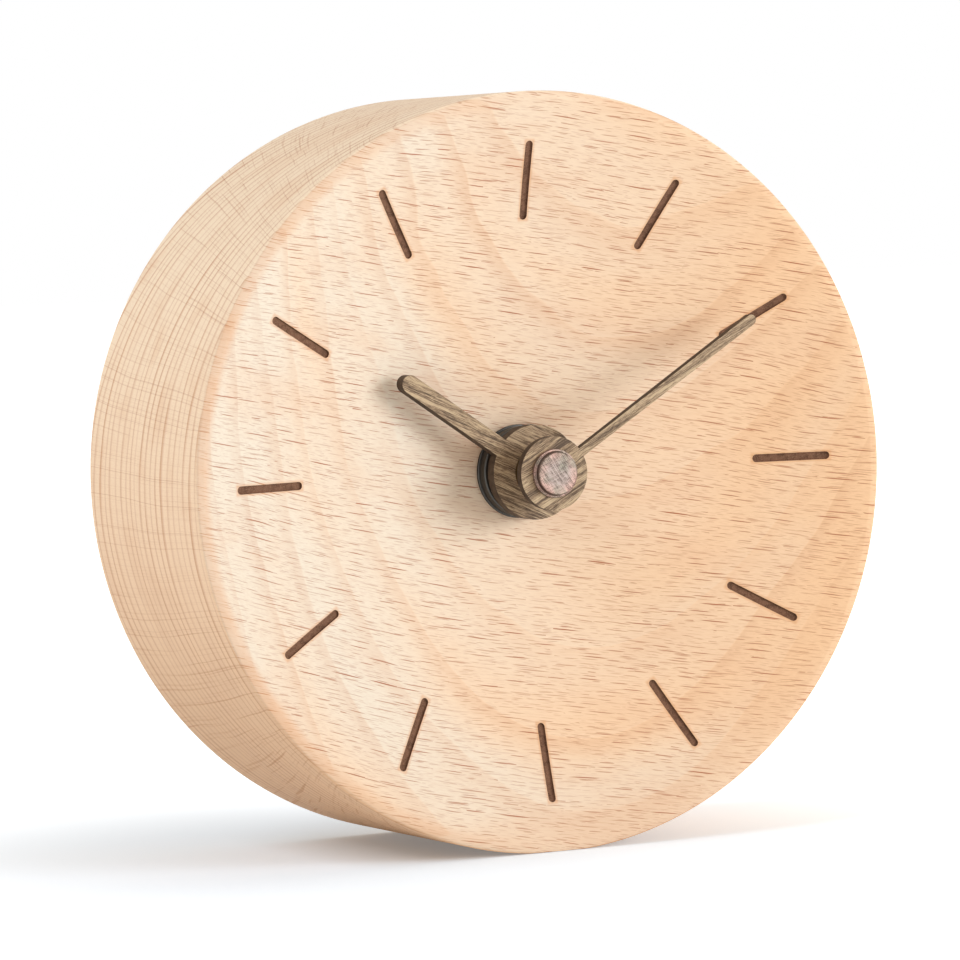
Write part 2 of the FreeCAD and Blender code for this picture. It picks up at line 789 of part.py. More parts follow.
def build():
    """Write one file for each piece of the clock."""
    os.makedirs("parts", exist_ok=True)
    save("wooden_body", wood_drum())
    save("dial_washer", washer())
    save("dial_nut", nut())
    save("threaded_bushing", bushing())
    save("rubber_gasket", gasket())
    save("hour_hand", hand(hour_disc_radius, hour_collar_radius, hour_reach, hour_width, hour_width,
                           hour_face_depth, hour_thickness, hour_angle))
    save("hour_hand_bush", hand_bush(hour_collar_radius, hour_flange_radius, hour_tube_radius,
                                     hour_face_depth + tube_setback, hour_face_depth + hour_thickness))
    save("minute_hand", hand(minute_disc_radius, minute_collar_radius, minute_reach,
                             minute_root_width, minute_tip_width, minute_face_depth,
                             minute_thickness, minute_angle))
    save("minute_hand_bush", hand_bush(minute_collar_radius, minute_flange_radius,
                                       minute_arbor_radius, minute_face_depth,
                                       minute_face_depth + minute_thickness))
    save("centre_cap", centre_cap())
    save("minute_arbor", minute_arbor())
    save("hour_wheel", hour_wheel())
    save("setting_arbor", setting_arbor())
    save("setting_knob", setting_knob())
    save("clutch_spring", clutch_spring())
    save("centre_wheel", centre_wheel())
    save("third_wheel", third_wheel())
    save("seconds_wheel", seconds_wheel())
    save("intermediate_wheel", intermediate_wheel())
    save("rotor_pinion", rotor_pinion())
    save("rotor_magnet", rotor_magnet())
    save("stator_plate", stator())
    save("coil_core", coil_core())
    save("coil_bobbin", coil_bobbin())
    save("coil_winding", coil_winding())
    save("circuit_board", circuit_board())
    save("timing_chip", chip())
    save("quartz_crystal", crystal())
    save("gear_bridge", bridge())
    save("movement_screws", screws())
    save("movement_case_front", case_front_shell())
    save("movement_case_back", case_back_shell())
    save("battery_cell", battery())
    save("battery_plus_contact", plus_contact())
    save("battery_minus_contact", minus_contact())


build()
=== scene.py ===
"""Looks of the round wooden desk clock: turned beech drum, burnt hour marks, flat
wooden hands and the battery movement in its pocket at the back."""

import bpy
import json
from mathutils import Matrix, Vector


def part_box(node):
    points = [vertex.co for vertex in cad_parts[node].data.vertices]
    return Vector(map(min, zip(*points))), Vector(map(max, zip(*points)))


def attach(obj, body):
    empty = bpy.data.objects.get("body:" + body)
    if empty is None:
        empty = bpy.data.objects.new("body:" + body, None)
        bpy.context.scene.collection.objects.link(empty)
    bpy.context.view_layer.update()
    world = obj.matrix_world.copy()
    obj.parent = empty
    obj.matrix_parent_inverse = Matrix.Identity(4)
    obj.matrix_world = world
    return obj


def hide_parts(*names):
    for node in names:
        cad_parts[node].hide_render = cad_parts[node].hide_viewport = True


bl_info = {
    "name": "Wooden Desk Clock",
    "version": (1, 0, 0),
    "blender": (4, 5, 0),
    "location": "View3D > Sidebar > Desk Clock",
    "description": "Builds the surfaces of a turned wooden desk clock around its solid model",
    "category": "Add Mesh",
}

import json
import math

import bmesh
import bpy
from mathutils import Quaternion, Vector
from mathutils.geometry import delaunay_2d_cdt

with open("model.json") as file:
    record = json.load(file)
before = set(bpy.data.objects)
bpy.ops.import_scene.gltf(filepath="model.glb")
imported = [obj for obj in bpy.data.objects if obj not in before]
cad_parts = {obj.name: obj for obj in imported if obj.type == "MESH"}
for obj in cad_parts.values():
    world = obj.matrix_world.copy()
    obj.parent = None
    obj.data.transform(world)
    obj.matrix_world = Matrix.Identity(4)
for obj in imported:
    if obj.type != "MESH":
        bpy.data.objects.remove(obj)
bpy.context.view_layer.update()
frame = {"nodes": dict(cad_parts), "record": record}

MM = 0.001

# The dial's middle, in the plane of the rim, comes from the solid drum, in metres
drum_low, drum_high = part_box("wooden_body")
DRUM_RADIUS = (drum_high.x - drum_low.x) / 2
RIM_Y = drum_low.y
AXIS_Z = drum_high.z - DRUM_RADIUS

# Finishes of the solids that show as they are, by material slot
METAL_SOLIDS = {
    "brass": ("dark_brass", (120, 96, 62), 0.35, 1.0),
    "steel": ("plated_steel", (205, 205, 208), 0.25, 1.0),
    "magnet": ("dark_magnet", (88, 88, 92), 0.45, 0.8, 2.0),
    "soft_iron": ("stamped_iron", (164, 164, 168), 0.4, 1.0),
    "copper": ("copper_wire", (196, 110, 66), 0.3, 1.0, 12.0),
}
MOULDED_SOLIDS = {
    "rubber": ("black_rubber", (34, 33, 33), 0.75),
    "case_plastic": ("black_case", (38, 38, 40), 0.45),
    "wheel_plastic": ("white_wheels", (226, 222, 210), 0.35, 2.0, 0.005, 0.02),
    "setting_plastic": ("grey_wheels", (196, 194, 186), 0.35, 2.0, 0.005, 0.02),
    "board": ("brown_board", (150, 112, 66), 0.5, 3.0),
    "resin": ("black_resin", (28, 28, 30), 0.15, 0.8, 0.01),
}

# Lamps: name, direction from the clock, distance, width and height in metres, power setting
LAMPS = (("right_softbox", (0.75, -0.8, 0.16), 1.1, 0.6, 0.6, "key_power"),
         ("left_softbox", (-0.85, -0.08, 0.85), 1.2, 0.8, 0.6, "fill_power"))


class Extent:
    """Room that a solid takes up, measured from the middle of the rim's plane."""

    def __init__(self, node):
        low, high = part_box(node)
        self.left, self.right = low.x, high.x
        self.front, self.back = low.y - RIM_Y, high.y - RIM_Y
        self.bottom, self.top = low.z - AXIS_Z, high.z - AXIS_Z
        self.half = (high.x - low.x) / 2
        self.place = ((low.x + high.x) / 2, (low.z + high.z) / 2 - AXIS_Z)
        self.depth = (high.y + low.y) / 2 - RIM_Y


def screen_colour(red, green, blue):
    """Light values of a colour that is given as it shows on a screen, 0 to 255."""
    shares = (value / 255 for value in (red, green, blue))
    return tuple(s / 12.92 if s <= 0.04045 else ((s + 0.055) / 1.055) ** 2.4 for s in shares)


def length(description, size):
    return bpy.props.FloatProperty, dict(description=description, default=size * MM,
                                         subtype="DISTANCE", unit="LENGTH", precision=5)


def angle(description, degrees):
    return bpy.props.FloatProperty, dict(description=description, default=math.radians(degrees),
                                         subtype="ANGLE", unit="ROTATION")


def number(description, value):
    return bpy.props.FloatProperty, dict(description=description, default=value, precision=4)


def count(description, value):
    return bpy.props.IntProperty, dict(description=description, default=value)


def position(description, *metres):
    return bpy.props.FloatVectorProperty, dict(description=description, size=3, default=metres,
                                               subtype="TRANSLATION", unit="LENGTH")


def colour(description, *screen):
    return bpy.props.FloatVectorProperty, dict(description=description, size=3,
                                               default=screen_colour(*screen), subtype="COLOR",
                                               min=0.0, max=1.0)


def settings_group(group):
    """Turn a class's rows into properties, each with a name made from its key."""
    for key, (kind, values) in group.__annotations__.items():
        group.__annotations__[key] = kind(name=key.replace("_", " ").capitalize(), **values)
    return group


@settings_group
class DrumSettings(bpy.types.PropertyGroup):
    """Sizes and colours of the turned drum and its burnt marks."""

    radius: length("Outer radius of the drum", DRUM_RADIUS / MM)
    depth: length("Depth of the drum from rim to back", (drum_high.y - drum_low.y) / MM)
    rim_band: length("Width of the flat band round the dish", 1.1)
    rim_round: length("Rounding of the rim's outer edge", 0.4)
    dish_edge_round: length("Rounding between the band and the dish", 0.15)
    back_round: length("Rounding of the back edge", 1.2)
    dish_depth: length("Depth of the dish in its middle", 8.4)
    web: length("Wood between the dish and the pocket", 5.5)
    pocket_radius: length("Radius of the pocket at the back", 40.0)
    pocket_round: length("Rounding of the pocket's mouth", 0.5)
    seat_radius: length("Radius of the flat seat under the washer", 6.5)
    bore_radius: length("Radius of the hole for the bushing", 4.2)
    mark_inner: length("Distance of a mark's inner end from the middle", 33.2)
    mark_outer: length("Distance of a mark's outer end from the middle", 43.5)
    mark_width: length("Width of a burnt mark", 1.05)
    mark_depth: length("Depth of a burnt mark", 0.3)
    marks: count("Number of hour marks", 12)
    # pale and tan are beech tones that also paint light: paler on the dial's lit left, warmer on
    # its shaded right
    pale: colour("Palest beech, on the left of the dial", 230, 216, 195)
    tan: colour("Warmest beech, on the right of the dial", 237, 195, 153)
    # outer_low and outer_high paint light on the drum's outside: paler on the lit top, darker on
    # the shaded bottom
    outer_low: colour("Beech on the lower outside of the drum", 242, 194, 147)
    outer_high: colour("Beech on the upper outside of the drum", 254, 234, 207)
    cloud: colour("Slow pinkish clouds in the beech", 226, 184, 148)
    ring: colour("Thin line at the end of a growth ring", 196, 139, 100)
    # rim_tint: painted warm shade on the dish's left edge, standing in for light bounced in the
    # wood
    rim_tint: colour("Oiled edge of the dish, on its left", 218, 160, 112)
    ray: colour("Short dashes along the grain", 168, 96, 60)
    singe: colour("Wood browned beside a burnt mark", 214, 152, 100)
    burn: colour("Burnt wood of the marks", 130, 93, 72)
    ash: colour("Pale specks of the marks", 154, 115, 87)
    char: colour("Darkest spots of the marks", 78, 54, 40)


@settings_group
class HandSettings(bpy.types.PropertyGroup):
    """Sizes and colours of the two hands."""

    hour_disc: length("Radius of the hour hand's disc", 6.25)
    hour_reach: length("Length of the hour hand from the shaft", 22.9)
    hour_width: length("Width of the hour hand", 2.4)
    hour_bore: length("Radius of the hole in the hour hand", 3.1)
    hour_angle: angle("Place of the hour hand, clockwise from 12", 304.835)
    minute_disc: length("Radius of the minute hand's disc", 4.85)
    minute_reach: length("Length of the minute hand from the shaft", 36.2)
    minute_root: length("Width of the minute hand at its disc", 1.15)
    minute_tip: length("Width of the minute hand at its tip", 1.4)
    minute_bore: length("Radius of the hole in the minute hand", 2.1)
    minute_angle: angle("Place of the minute hand, clockwise from 12", 58.02)
    edge_round: length("Rounding of the sawn edges", 0.04)
    hour_lean: angle("Lean of the grain against the hour hand", -10.0)
    minute_lean: angle("Lean of the grain against the minute hand", 4.0)
    face: colour("Middle tone of the dark wood", 148, 121, 92)
    light: colour("Light streaks of the dark wood", 204, 178, 141)
    dark: colour("Dark streaks of the dark wood", 64, 45, 30)
    edge: colour("Edges browned by the cutter", 42, 27, 17)


@settings_group
class FittingSettings(bpy.types.PropertyGroup):
    """Sizes and colours of the cap, the nut and the washer on the dial."""

    cap_lip: length("Radius of the cap's lip", 3.2)
    cap_lip_height: length("Height of the cap's lip", 0.45)
    cap_radius: length("Radius of the cap's crown", 2.85)
    cap_chamfer: length("Chamfer of the cap's crown", 0.2)
    cap_fillet: length("Rounding of the cap's lip", 0.12)
    cap_post: length("Radius of the post behind the cap", 1.5)
    nut_chamfer: length("Chamfer of the nut's front edge", 0.3)
    nut_bore: length("Inner radius of the nut and washer", 4.0)
    cap_metal: colour("Brushed crown of the cap", 142, 126, 116)
    cap_edge: colour("Warmer metal near the cap's edge", 168, 134, 120)
    # cap_scratch colours the scratches and also the painted shade in the step round the crown
    cap_scratch: colour("Dark scratches of the cap", 72, 57, 50)
    cap_film: colour("Dull patches of the cap", 118, 116, 100)
    nut_metal: colour("Dark metal of nut and washer", 78, 76, 72)


@settings_group
class MovementSettings(bpy.types.PropertyGroup):
    """Sizes and colours of the movement's back, as it shows in the pocket."""

    case_corner: length("Corner radius of the case", 3.0)
    case_round: length("Rounding of the case's rear edge", 0.5)
    case_wall: length("Wall of the case", 1.2)
    bay_top: length("Top of the battery bay, from the middle of the dial", -11.7)
    bay_corner: length("Lower corner radius of the battery bay", 1.5)
    bay_lip: length("Rounding of the battery bay's mouth", 0.2)
    divider: length("Wall between the bay and the wheels", 1.2)
    panel_half: length("Half the width of the sunken panel", 21.0)
    panel_low: length("Lower edge of the sunken panel", 8.0)
    panel_high: length("Upper edge of the sunken panel", 22.0)
    panel_corner: length("Corner radius of the sunken panel", 2.0)
    panel_depth: length("Depth of the sunken panel", 0.25)
    panel_slope: length("Width of the slope round the sunken panel", 0.12)
    pivot_hole: length("Radius of the holes for the wheels' pivots", 0.5)
    shaft_hole: length("Radius of the hole for the setting shaft", 0.95)
    shaft: length("Radius of the setting shaft", 0.9)
    ribs: count("Ribs round the setting knob", 18)
    rib_depth: length("Depth of the grooves between the ribs", 0.35)
    knob_round: length("Rounding of the knob's edges", 0.35)
    knob_dish: length("Depth of the hollow in the knob's face", 0.35)
    shoulder: length("Rounding of the cell's ends", 0.6)
    nub_radius: length("Radius of the cell's plus end", 2.75)
    nub_length: length("Length of the cell's plus end", 1.2)
    wire: length("Radius of the spring's wire", 0.28)
    coils: count("Coils of the spring", 3)
    coil_wide: length("Radius of the spring at its foot", 3.6)
    coil_narrow: length("Radius of the spring at the cell", 2.0)
    strip: length("Thickness of the contact strip", 0.4)
    case_plastic: colour("Moulded case", 40, 40, 42)
    knob_plastic: colour("Setting knob", 52, 52, 54)
    sleeve: colour("Sleeve of the cell", 150, 153, 158)
    sleeve_band: colour("Sleeve near the plus end", 66, 68, 72)
    bare: colour("Bare ends, spring and strip", 205, 203, 198)


@settings_group
class StageSettings(bpy.types.PropertyGroup):
    """Camera, lights and floor."""

    camera_place: position("Place of the camera", -0.3264, -0.66336, 0.08659)
    camera_heading: angle("Turn of the view to the right of straight ahead", 26.08)
    camera_pitch: angle("Tilt of the view below the horizon", 2.957)
    camera_roll: angle("Roll of the view", 2.05)
    camera_lens: number("Focal length in millimetres on a 36 mm sensor", 207.7)
    floor_half: length("Half the width of the floor", 4000.0)
    floor_drop: length("Gap between the clock and the floor", 0.05)
    # The floor's glow paints light: it is weakest a little left of the clock, deepening the contact
    # shadow there as painted shade
    near_glow: number("Light that the floor adds beside the clock", 0.13)
    glow_left: length("How far left of the clock the floor's glow is least", 25.0)
    bounce: number("Share of the floor's added light that reaches the clock", 0.35)
    far_glow: number("Light that the floor adds far from the clock", 0.95)
    glow_reach: length("Distance at which the floor has its full glow", 150.0)
    sky_light: number("Strength of the even light from all round", 0.46)
    sky_tint: colour("Colour of the even light", 255, 236, 212)
    key_power: number("Power of the large lamp on the right", 10.9)
    fill_power: number("Power of the lamp on the left", 6.8)
    lamp_tint: colour("Colour of the two lamps", 240, 247, 255)
    floor_colour: colour("Pale floor", 228, 239, 251)


# Shapes

def spread(start, end, steps):
    """Even steps from one value to another, with both ends."""
    return [start + (end - start) * step / steps for step in range(steps + 1)]


def points_at(radius, turns, place=(0.0, 0.0)):
    """Points round a place, one for each turn in radians."""
    return [(place[0] + radius * math.cos(t), place[1] + radius * math.sin(t)) for t in turns]


def arc(place, radius, start, end, steps):
    """Points of an arc, its ends in degrees."""
    return points_at(radius, [math.radians(value) for value in spread(start, end, steps)], place)


def round_turn(steps):
    return [2 * math.pi * step / steps for step in range(steps)]


def circle(radius, steps, place=(0.0, 0.0)):
    return points_at(radius, round_turn(steps), place)


def turned_point(point, clock_angle):
    """Turn a point of the dial clockwise about the middle."""
    c, s = math.cos(clock_angle), math.sin(clock_angle)
    return (point[0] * c + point[1] * s, -point[0] * s + point[1] * c)


def dial_point(x, depth, z):
    """Point given from the middle of the rim's plane."""
    return Vector((x, RIM_Y + depth, AXIS_Z + z))


def about_shaft(radius, depth, turn):
    return dial_point(radius * math.cos(turn), depth, radius * math.sin(turn))


def ring_at(mesh, points, depth):
    return [mesh.verts.new(dial_point(x, depth, z)) for x, z in points]


def wall(mesh, *rings, paints=None):
    """Faces between rings of as many points each."""
    for span, (first, second) in enumerate(zip(rings, rings[1:])):
        for here in range(len(first)):
            after = (here + 1) % len(first)
            corners = dict.fromkeys((first[here], first[after], second[after], second[here]))
            if len(corners) > 2:
                mesh.faces.new(list(corners)).material_index = paints[span] if paints else 0


def lathe(mesh, outline, steps, point_at=about_shaft, paints=None):
    """Turn an open outline of (radius, depth) pairs about a shaft."""
    rings = []
    for radius, depth in outline:
        turns = round_turn(steps) if radius > 1e-9 else [0.0]
        ring = [mesh.verts.new(point_at(radius, depth, turn)) for turn in turns]
        rings.append(ring * (steps // len(ring)))
    wall(mesh, *rings, paints=paints)


def finish_mesh(name, mesh, paints, body, node, sharp=40.0):
    """Make the piece of a bmesh, smooth where it is meant to be, and let it ride on its body."""
    bmesh.ops.remove_doubles(mesh, verts=mesh.verts, dist=1e-7)
    bmesh.ops.recalc_face_normals(mesh, faces=mesh.faces)
    limit = math.radians(sharp)
    for face in mesh.faces:
        face.smooth = True
    for edge in mesh.edges:
        edge.smooth = edge.is_manifold and edge.calc_face_angle(0.0) < limit
    piece = placed_mesh(name, mesh, paints)
    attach(piece, body)
    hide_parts(node)
    return piece


def placed_mesh(name, mesh, paints):
    data = bpy.data.meshes.new(name)
    mesh.to_mesh(data)
    mesh.free()
    for paint in paints:
        data.materials.append(paint)
    return linked(name, data)


def linked(name, data):
    """New object in the scene with its mesh, lamp or camera."""
    piece = bpy.data.objects.new(name, data)
    bpy.context.scene.collection.objects.link(piece)
    return piece


def loop_edges(points, first):
    total = len(points)
    return [(first + step, first + (step + 1) % total) for step in range(total)]


def inside(point, loop):
    """True if a point lies in a closed loop."""
    found = False
    for (x0, z0), (x1, z1) in zip(loop, loop[1:] + loop[:1]):
        if (z0 > point[1]) != (z1 > point[1]):
            if point[0] < (x1 - x0) * (point[1] - z0) / (z1 - z0) + x0:
                found = not found
    return found


def triangles_between(loops, extra=()):
    """Points, and (corners, middle) of triangles that keep the loops' edges and extra points."""
    points, edges = [], []
    for loop in loops:
        edges += loop_edges(loop, len(points))
        points += [Vector(p) for p in loop]
    points += [Vector(p) for p in extra]
    result = delaunay_2d_cdt(points, edges, [], 0, 1e-9)
    points = result[0]
    return points, [(corners, sum((points[i] for i in corners), Vector((0, 0))) / 3)
                    for corners in result[2]]


def plane(mesh, outer, *holes):
    """Flat face in a ring, with holes."""
    rings = [outer, *holes]
    loops = [[(vert.co.x, vert.co.z - AXIS_Z) for vert in ring] for ring in rings]
    verts = [vert for ring in rings for vert in ring]
    for corners, middle in triangles_between(loops)[1]:
        if inside(middle, loops[0]) and not any(inside(middle, hole) for hole in loops[1:]):
            mesh.faces.new([verts[i] for i in corners])


def bar_outline(inner, outer, width, clock_angle, steps=10):
    """Round-ended bar along a ray of the dial."""
    half = width / 2
    straight = outer - inner - width
    points = []
    for side, start, end, first in ((1, inner + half, outer - half, 0.0),
                                    (-1, outer - half, inner + half, math.pi)):
        points += [(side * half, start + side * straight * step / steps) for step in range(steps)]
        points += points_at(half, [first + math.pi * step / steps for step in range(steps)],
                            (0.0, end))
    return [turned_point(p, clock_angle) for p in points]


def rounded_rectangle(box, top, bottom, out=0.0):
    """Rectangle (left, right, low, high) moved out, with upper and lower corner radii."""
    x0, x1, z0, z1 = box[0] - out, box[1] + out, box[2] - out, box[3] + out
    points = []
    for x, z, corner, first in ((x1 - top, z1 - top, top, 0), (x0 + top, z1 - top, top, 90),
                                (x0 + bottom, z0 + bottom, bottom, 180),
                                (x1 - bottom, z0 + bottom, bottom, 270)):
        points += arc((x, z), corner, first, first + 90, 6)
    return points


def rectangle_wall(mesh, box, top, bottom, rows, corners_follow=1):
    """Walls through rounded rectangles; rows give the depth and how far each is moved out."""
    rings = []
    for depth, out in rows:
        more = out * corners_follow
        rings.append(ring_at(mesh, rounded_rectangle(box, top + more, bottom + more, out), depth))
    wall(mesh, *rings)
    return rings


# Node helpers

class Field:
    """A number, place or colour that changes over a surface, with plain arithmetic."""

    def __init__(self, socket):
        self.socket = socket
        self.tree = socket.id_data

    def made(self, operation, *others):
        node = self.tree.nodes.new("ShaderNodeMath")
        node.operation = operation
        for socket, value in zip(node.inputs, others):
            put(socket, value)
        return Field(node.outputs[0])

    def __add__(self, other):
        return self.made("ADD", self, other)

    def __sub__(self, other):
        return self.made("SUBTRACT", self, other)

    def __rsub__(self, other):
        return self.made("SUBTRACT", other, self)

    def __mul__(self, other):
        return self.made("MULTIPLY", self, other)

    def __truediv__(self, other):
        return self.made("DIVIDE", self, other)

    def function(self, operation, *others):
        return self.made(operation, self, *others)

    def between(self, low, high, from_value=0.0, to_value=1.0):
        """Smooth step from one value to another as this field goes from low to high."""
        node = self.tree.nodes.new("ShaderNodeMapRange")
        node.interpolation_type = "SMOOTHSTEP"
        for socket, value in zip(node.inputs, (self, low, high, from_value, to_value)):
            put(socket, value)
        return Field(node.outputs[0])


def put(socket, value):
    """Link a field to an input, or write a plain value to it."""
    if isinstance(value, Field):
        value.tree.links.new(value.socket, socket)
        return
    if socket.type == "RGBA" and len(value) == 3:
        value = (*value, 1.0)
    socket.default_value = value


def fill(node, inputs):
    for name, value in inputs.items():
        put(node.inputs[name], value)


def node_outputs(tree, kind, inputs, **settings):
    """Outputs of a new node, as fields by name."""
    node = tree.nodes.new(kind)
    for name, value in settings.items():
        setattr(node, name, value)
    fill(node, inputs)
    return {socket.name: Field(socket) for socket in node.outputs}


def joined(x, y, z):
    return node_outputs(x.tree, "ShaderNodeCombineXYZ", {"X": x, "Y": y, "Z": z})["Vector"]


def split(place):
    return node_outputs(place.tree, "ShaderNodeSeparateXYZ", {"Vector": place}).values()


def distance(x, z):
    return (x * x + z * z).function("SQRT")


def cloudy(place, scale=1.0, detail=2.0, roughness=0.5):
    """Soft noise from 0 to 1."""
    return node_outputs(place.tree, "ShaderNodeTexNoise", {
        "Vector": place, "Scale": scale, "Detail": detail, "Roughness": roughness})["Fac"]


def drawn_out(x, y, z, detail=1.0, roughness=0.5):
    """Soft noise with its own scale along each direction."""
    return cloudy(joined(x, y, z), 1.0, detail, roughness)


def mixed(share, first, second):
    """Colour between two colours."""
    node = share.tree.nodes.new("ShaderNodeMix")
    node.data_type = "RGBA"
    for index, value in ((0, share), (6, first), (7, second)):
        put(node.inputs[index], value)
    return Field(node.outputs[2])


def turned(place, turn):
    """Place turned about the dial's shaft."""
    return node_outputs(place.tree, "ShaderNodeVectorRotate", {
        "Vector": place, "Axis": (0.0, 1.0, 0.0), "Angle": turn},
        rotation_type="AXIS_ANGLE")["Vector"]


def millimetres(shader):
    """Place on the piece in millimetres from the middle of the rim's plane."""
    tree = shader.id_data
    place = node_outputs(tree, "ShaderNodeTexCoord", {})["Object"]
    moved = node_outputs(tree, "ShaderNodeVectorMath", {0: place, 1: -dial_point(0.0, 0.0, 0.0)},
                         operation="ADD")["Vector"]
    return node_outputs(tree, "ShaderNodeVectorMath", {0: moved, "Scale": 1 / MM},
                        operation="SCALE")["Vector"]


def new_group(name, inputs, draw):
    """Node group with a place and numbers going in and the values that draw gives coming out."""
    group = bpy.data.node_groups.new(name, "ShaderNodeTree")
    add = group.interface.new_socket
    add("Place", in_out="INPUT", socket_type="NodeSocketVector")
    for label, value in inputs.items():
        add(label, in_out="INPUT", socket_type="NodeSocketFloat").default_value = value
    source = group.nodes.new("NodeGroupInput").outputs
    results = draw(*(Field(source[label]) for label in ("Place", *inputs)))
    for label in results:
        add(label, in_out="OUTPUT", socket_type="NodeSocketFloat")
    fill(group.nodes.new("NodeGroupOutput"), results)
    return group


def shared(name, place, **numbers):
    """Outputs of a shared group, which is made the first time it is asked for."""
    group = bpy.data.node_groups.get(name) or new_group(name, *SHARED_GROUPS[name])
    numbers = {label.replace("_", " "): value for label, value in numbers.items()}
    return node_outputs(place.tree, "ShaderNodeGroup", {"Place": place, **numbers},
                        node_tree=group)


def dashes(places, cell, half, seed=0.0):
    """Short spindle-shaped dashes; cell is their spacing and half their half sizes, in mm."""
    along, across, radial = places
    scaled = joined(along / cell[0] + seed, across / cell[1], radial / cell[2])
    cells = node_outputs(scaled.tree, "ShaderNodeTexVoronoi", {"Vector": scaled, "Scale": 1.0})
    chance = list(split(cells["Color"]))
    size = chance[0] * 0.7 + 0.5
    total = None
    for axis, (here, centre) in enumerate(zip(split(scaled), split(cells["Position"]))):
        part = (here - centre) * (cell[axis] / half[axis]) / (size if axis < 2 else 1.0)
        total = part * part if total is None else total + part * part
    return total.between(0.25, 1.0, 1.0, 0.0), chance[1]


def draw_beech(place, spacing, slope):
    """Growth rings and rays of one piece of beech, cut at any angle."""
    pith_behind, pith_below = 146.0, 19.0
    x, depth, z = split(place)
    wander = cloudy(place, 0.018, 1.0) - 0.5
    ripple = drawn_out(x * 0.04, depth * 0.03, z * 0.07, 2.0) - 0.5
    run = z + x * slope - x * x * 0.00077 + wander * 3.0 + ripple * 1.6
    out = depth + x * 0.06 + pith_behind
    up = run + pith_below
    radial = distance(out, up) - pith_behind
    across = up.function("ARCTAN2", out) * pith_behind
    uneven = drawn_out(radial * 0.25, across * 0.02, x * 0.01)
    rings = (radial + ripple * 0.5) / spacing + uneven * 1.6
    share = rings.function("FRACT")
    line = share.between(0.55, 0.95) * share.between(0.96, 1.0, 1.0, 0.0)
    strength = node_outputs(place.tree, "ShaderNodeTexWhiteNoise", {
        "Vector": joined(rings.function("FLOOR"), 0.0, 0.0)}, noise_dimensions="3D")["Value"]
    fading = drawn_out(x * 0.05, across * 0.05, radial).between(0.35, 0.65)
    tone = share * 0.08 + drawn_out(x * 0.012, radial * 0.35, across * 0.03) * 0.92
    grain = (x + ripple, across, radial)
    strong, dark = dashes(grain, (5.6, 1.0, 90.0), (2.4, 0.085, 150.0))
    short, tint = dashes(grain, (3.3, 0.6, 90.0), (1.4, 0.075, 150.0), 7.3)
    fine, faint = dashes(grain, (2.0, 0.33, 90.0), (0.8, 0.05, 150.0), 3.1)
    rays = (strong * (dark * 0.85 + 0.15)).function("MAXIMUM", short * tint * 0.75)
    return {"Ring": line * (strength * 0.6 + 0.4) * (fading * 0.5 + 0.5),
            "Tone": tone,
            "Rays": rays.function("MAXIMUM", fine * faint * 0.5),
            "Fibre": drawn_out(x * 0.35, across * 5.0, radial * 5.0, 3.0, 0.6),
            "Cloud": drawn_out(x * 0.03, across * 0.12, radial * 0.2, 3.0)}


def draw_streaks(place, turn, seed):
    """Long uneven streaks along a blade, with fine pores."""
    across, depth, along = split(turned(place, turn))
    bend = drawn_out(along * 0.12 + seed, across * 0.3, 0.0, 2.0) - 0.5
    side = across + bend * 0.7
    coarse = drawn_out(along * 0.07 + seed, side * 1.7, depth * 0.8, 2.0, 0.6)
    fine = drawn_out(along * 0.22 + seed, side * 7.5, depth * 4.0, 3.0, 0.65)
    fleck = drawn_out(along * 1.3 + seed, side * 16.0, depth * 8.0, 2.0)
    streak = coarse * 0.35 + fine * 0.37 + fleck * 0.28
    return {"Dark": streak.between(0.515, 0.42), "Light": streak.between(0.49, 0.58),
            "Height": fine * 0.6 + fleck * 0.4}


def draw_moulded(place, grain_size):
    """Fine spark texture of moulded plastic, with dust and slow tone changes."""
    return {"Grain": cloudy(place, grain_size, 3.0, 0.6), "Tone": cloudy(place, 0.08),
            "Dust": cloudy(place, 1.7, 4.0, 0.7).between(0.62, 0.78)}


def draw_scratches(place, direction, scale):
    """Fine crossed scratches of brushed metal."""
    total = None
    for share, turn in ((0.6, 0.0), (0.4, 1.35)):
        across, depth, along = split(turned(place, direction + turn))
        lines = drawn_out(across * scale, depth * scale, along * scale * 0.06, 3.0, 0.7)
        part = lines.between(0.3, 0.7) * share
        total = part if total is None else total + part
    return {"Scratch": total, "Tone": cloudy(place, 0.45)}


SHARED_GROUPS = {
    "Beech grain": ({"Ring spacing": 1.75, "Grain slope": 0.19}, draw_beech),
    "Dark wood streaks": ({"Turn": 0.0, "Seed": 0.0}, draw_streaks),
    "Moulded surface": ({"Grain size": 6.0}, draw_moulded),
    "Brushed scratches": ({"Direction": 0.6, "Scale": 9.0}, draw_scratches),
}


# Finishes, with distances on the piece in millimetres

def new_finish(name):
    material = bpy.data.materials.new(name)
    material.use_nodes = True
    return material, material.node_tree.nodes["Principled BSDF"]


def fill_shader(shader, height, bump_depth, strength, inputs):
    """Write a shader's inputs and a bump whose depth is in millimetres."""
    bump = node_outputs(shader.id_data, "ShaderNodeBump", {
        "Height": height, "Distance": bump_depth * MM, "Strength": strength})
    fill(shader, {**inputs, "Normal": bump["Normal"]})


def singed(x, z, settings):
    """1 beside a burnt mark, fading to 0 a little way off."""
    spread_out = 0.45 * MM
    reach = distance(x, z) * MM
    sector = 2 * math.pi / settings.marks
    turn = x.function("ARCTAN2", z) / sector
    off = (turn - turn.function("ROUND")) * sector
    side = (off.function("SINE") * reach).function("ABSOLUTE")
    half = settings.mark_width / 2
    ends = reach.between(settings.mark_inner - spread_out, settings.mark_inner)
    ends = ends * reach.between(settings.mark_outer, settings.mark_outer + spread_out, 1.0, 0.0)
    return ends * side.between(half, half + spread_out, 1.0, 0.0)


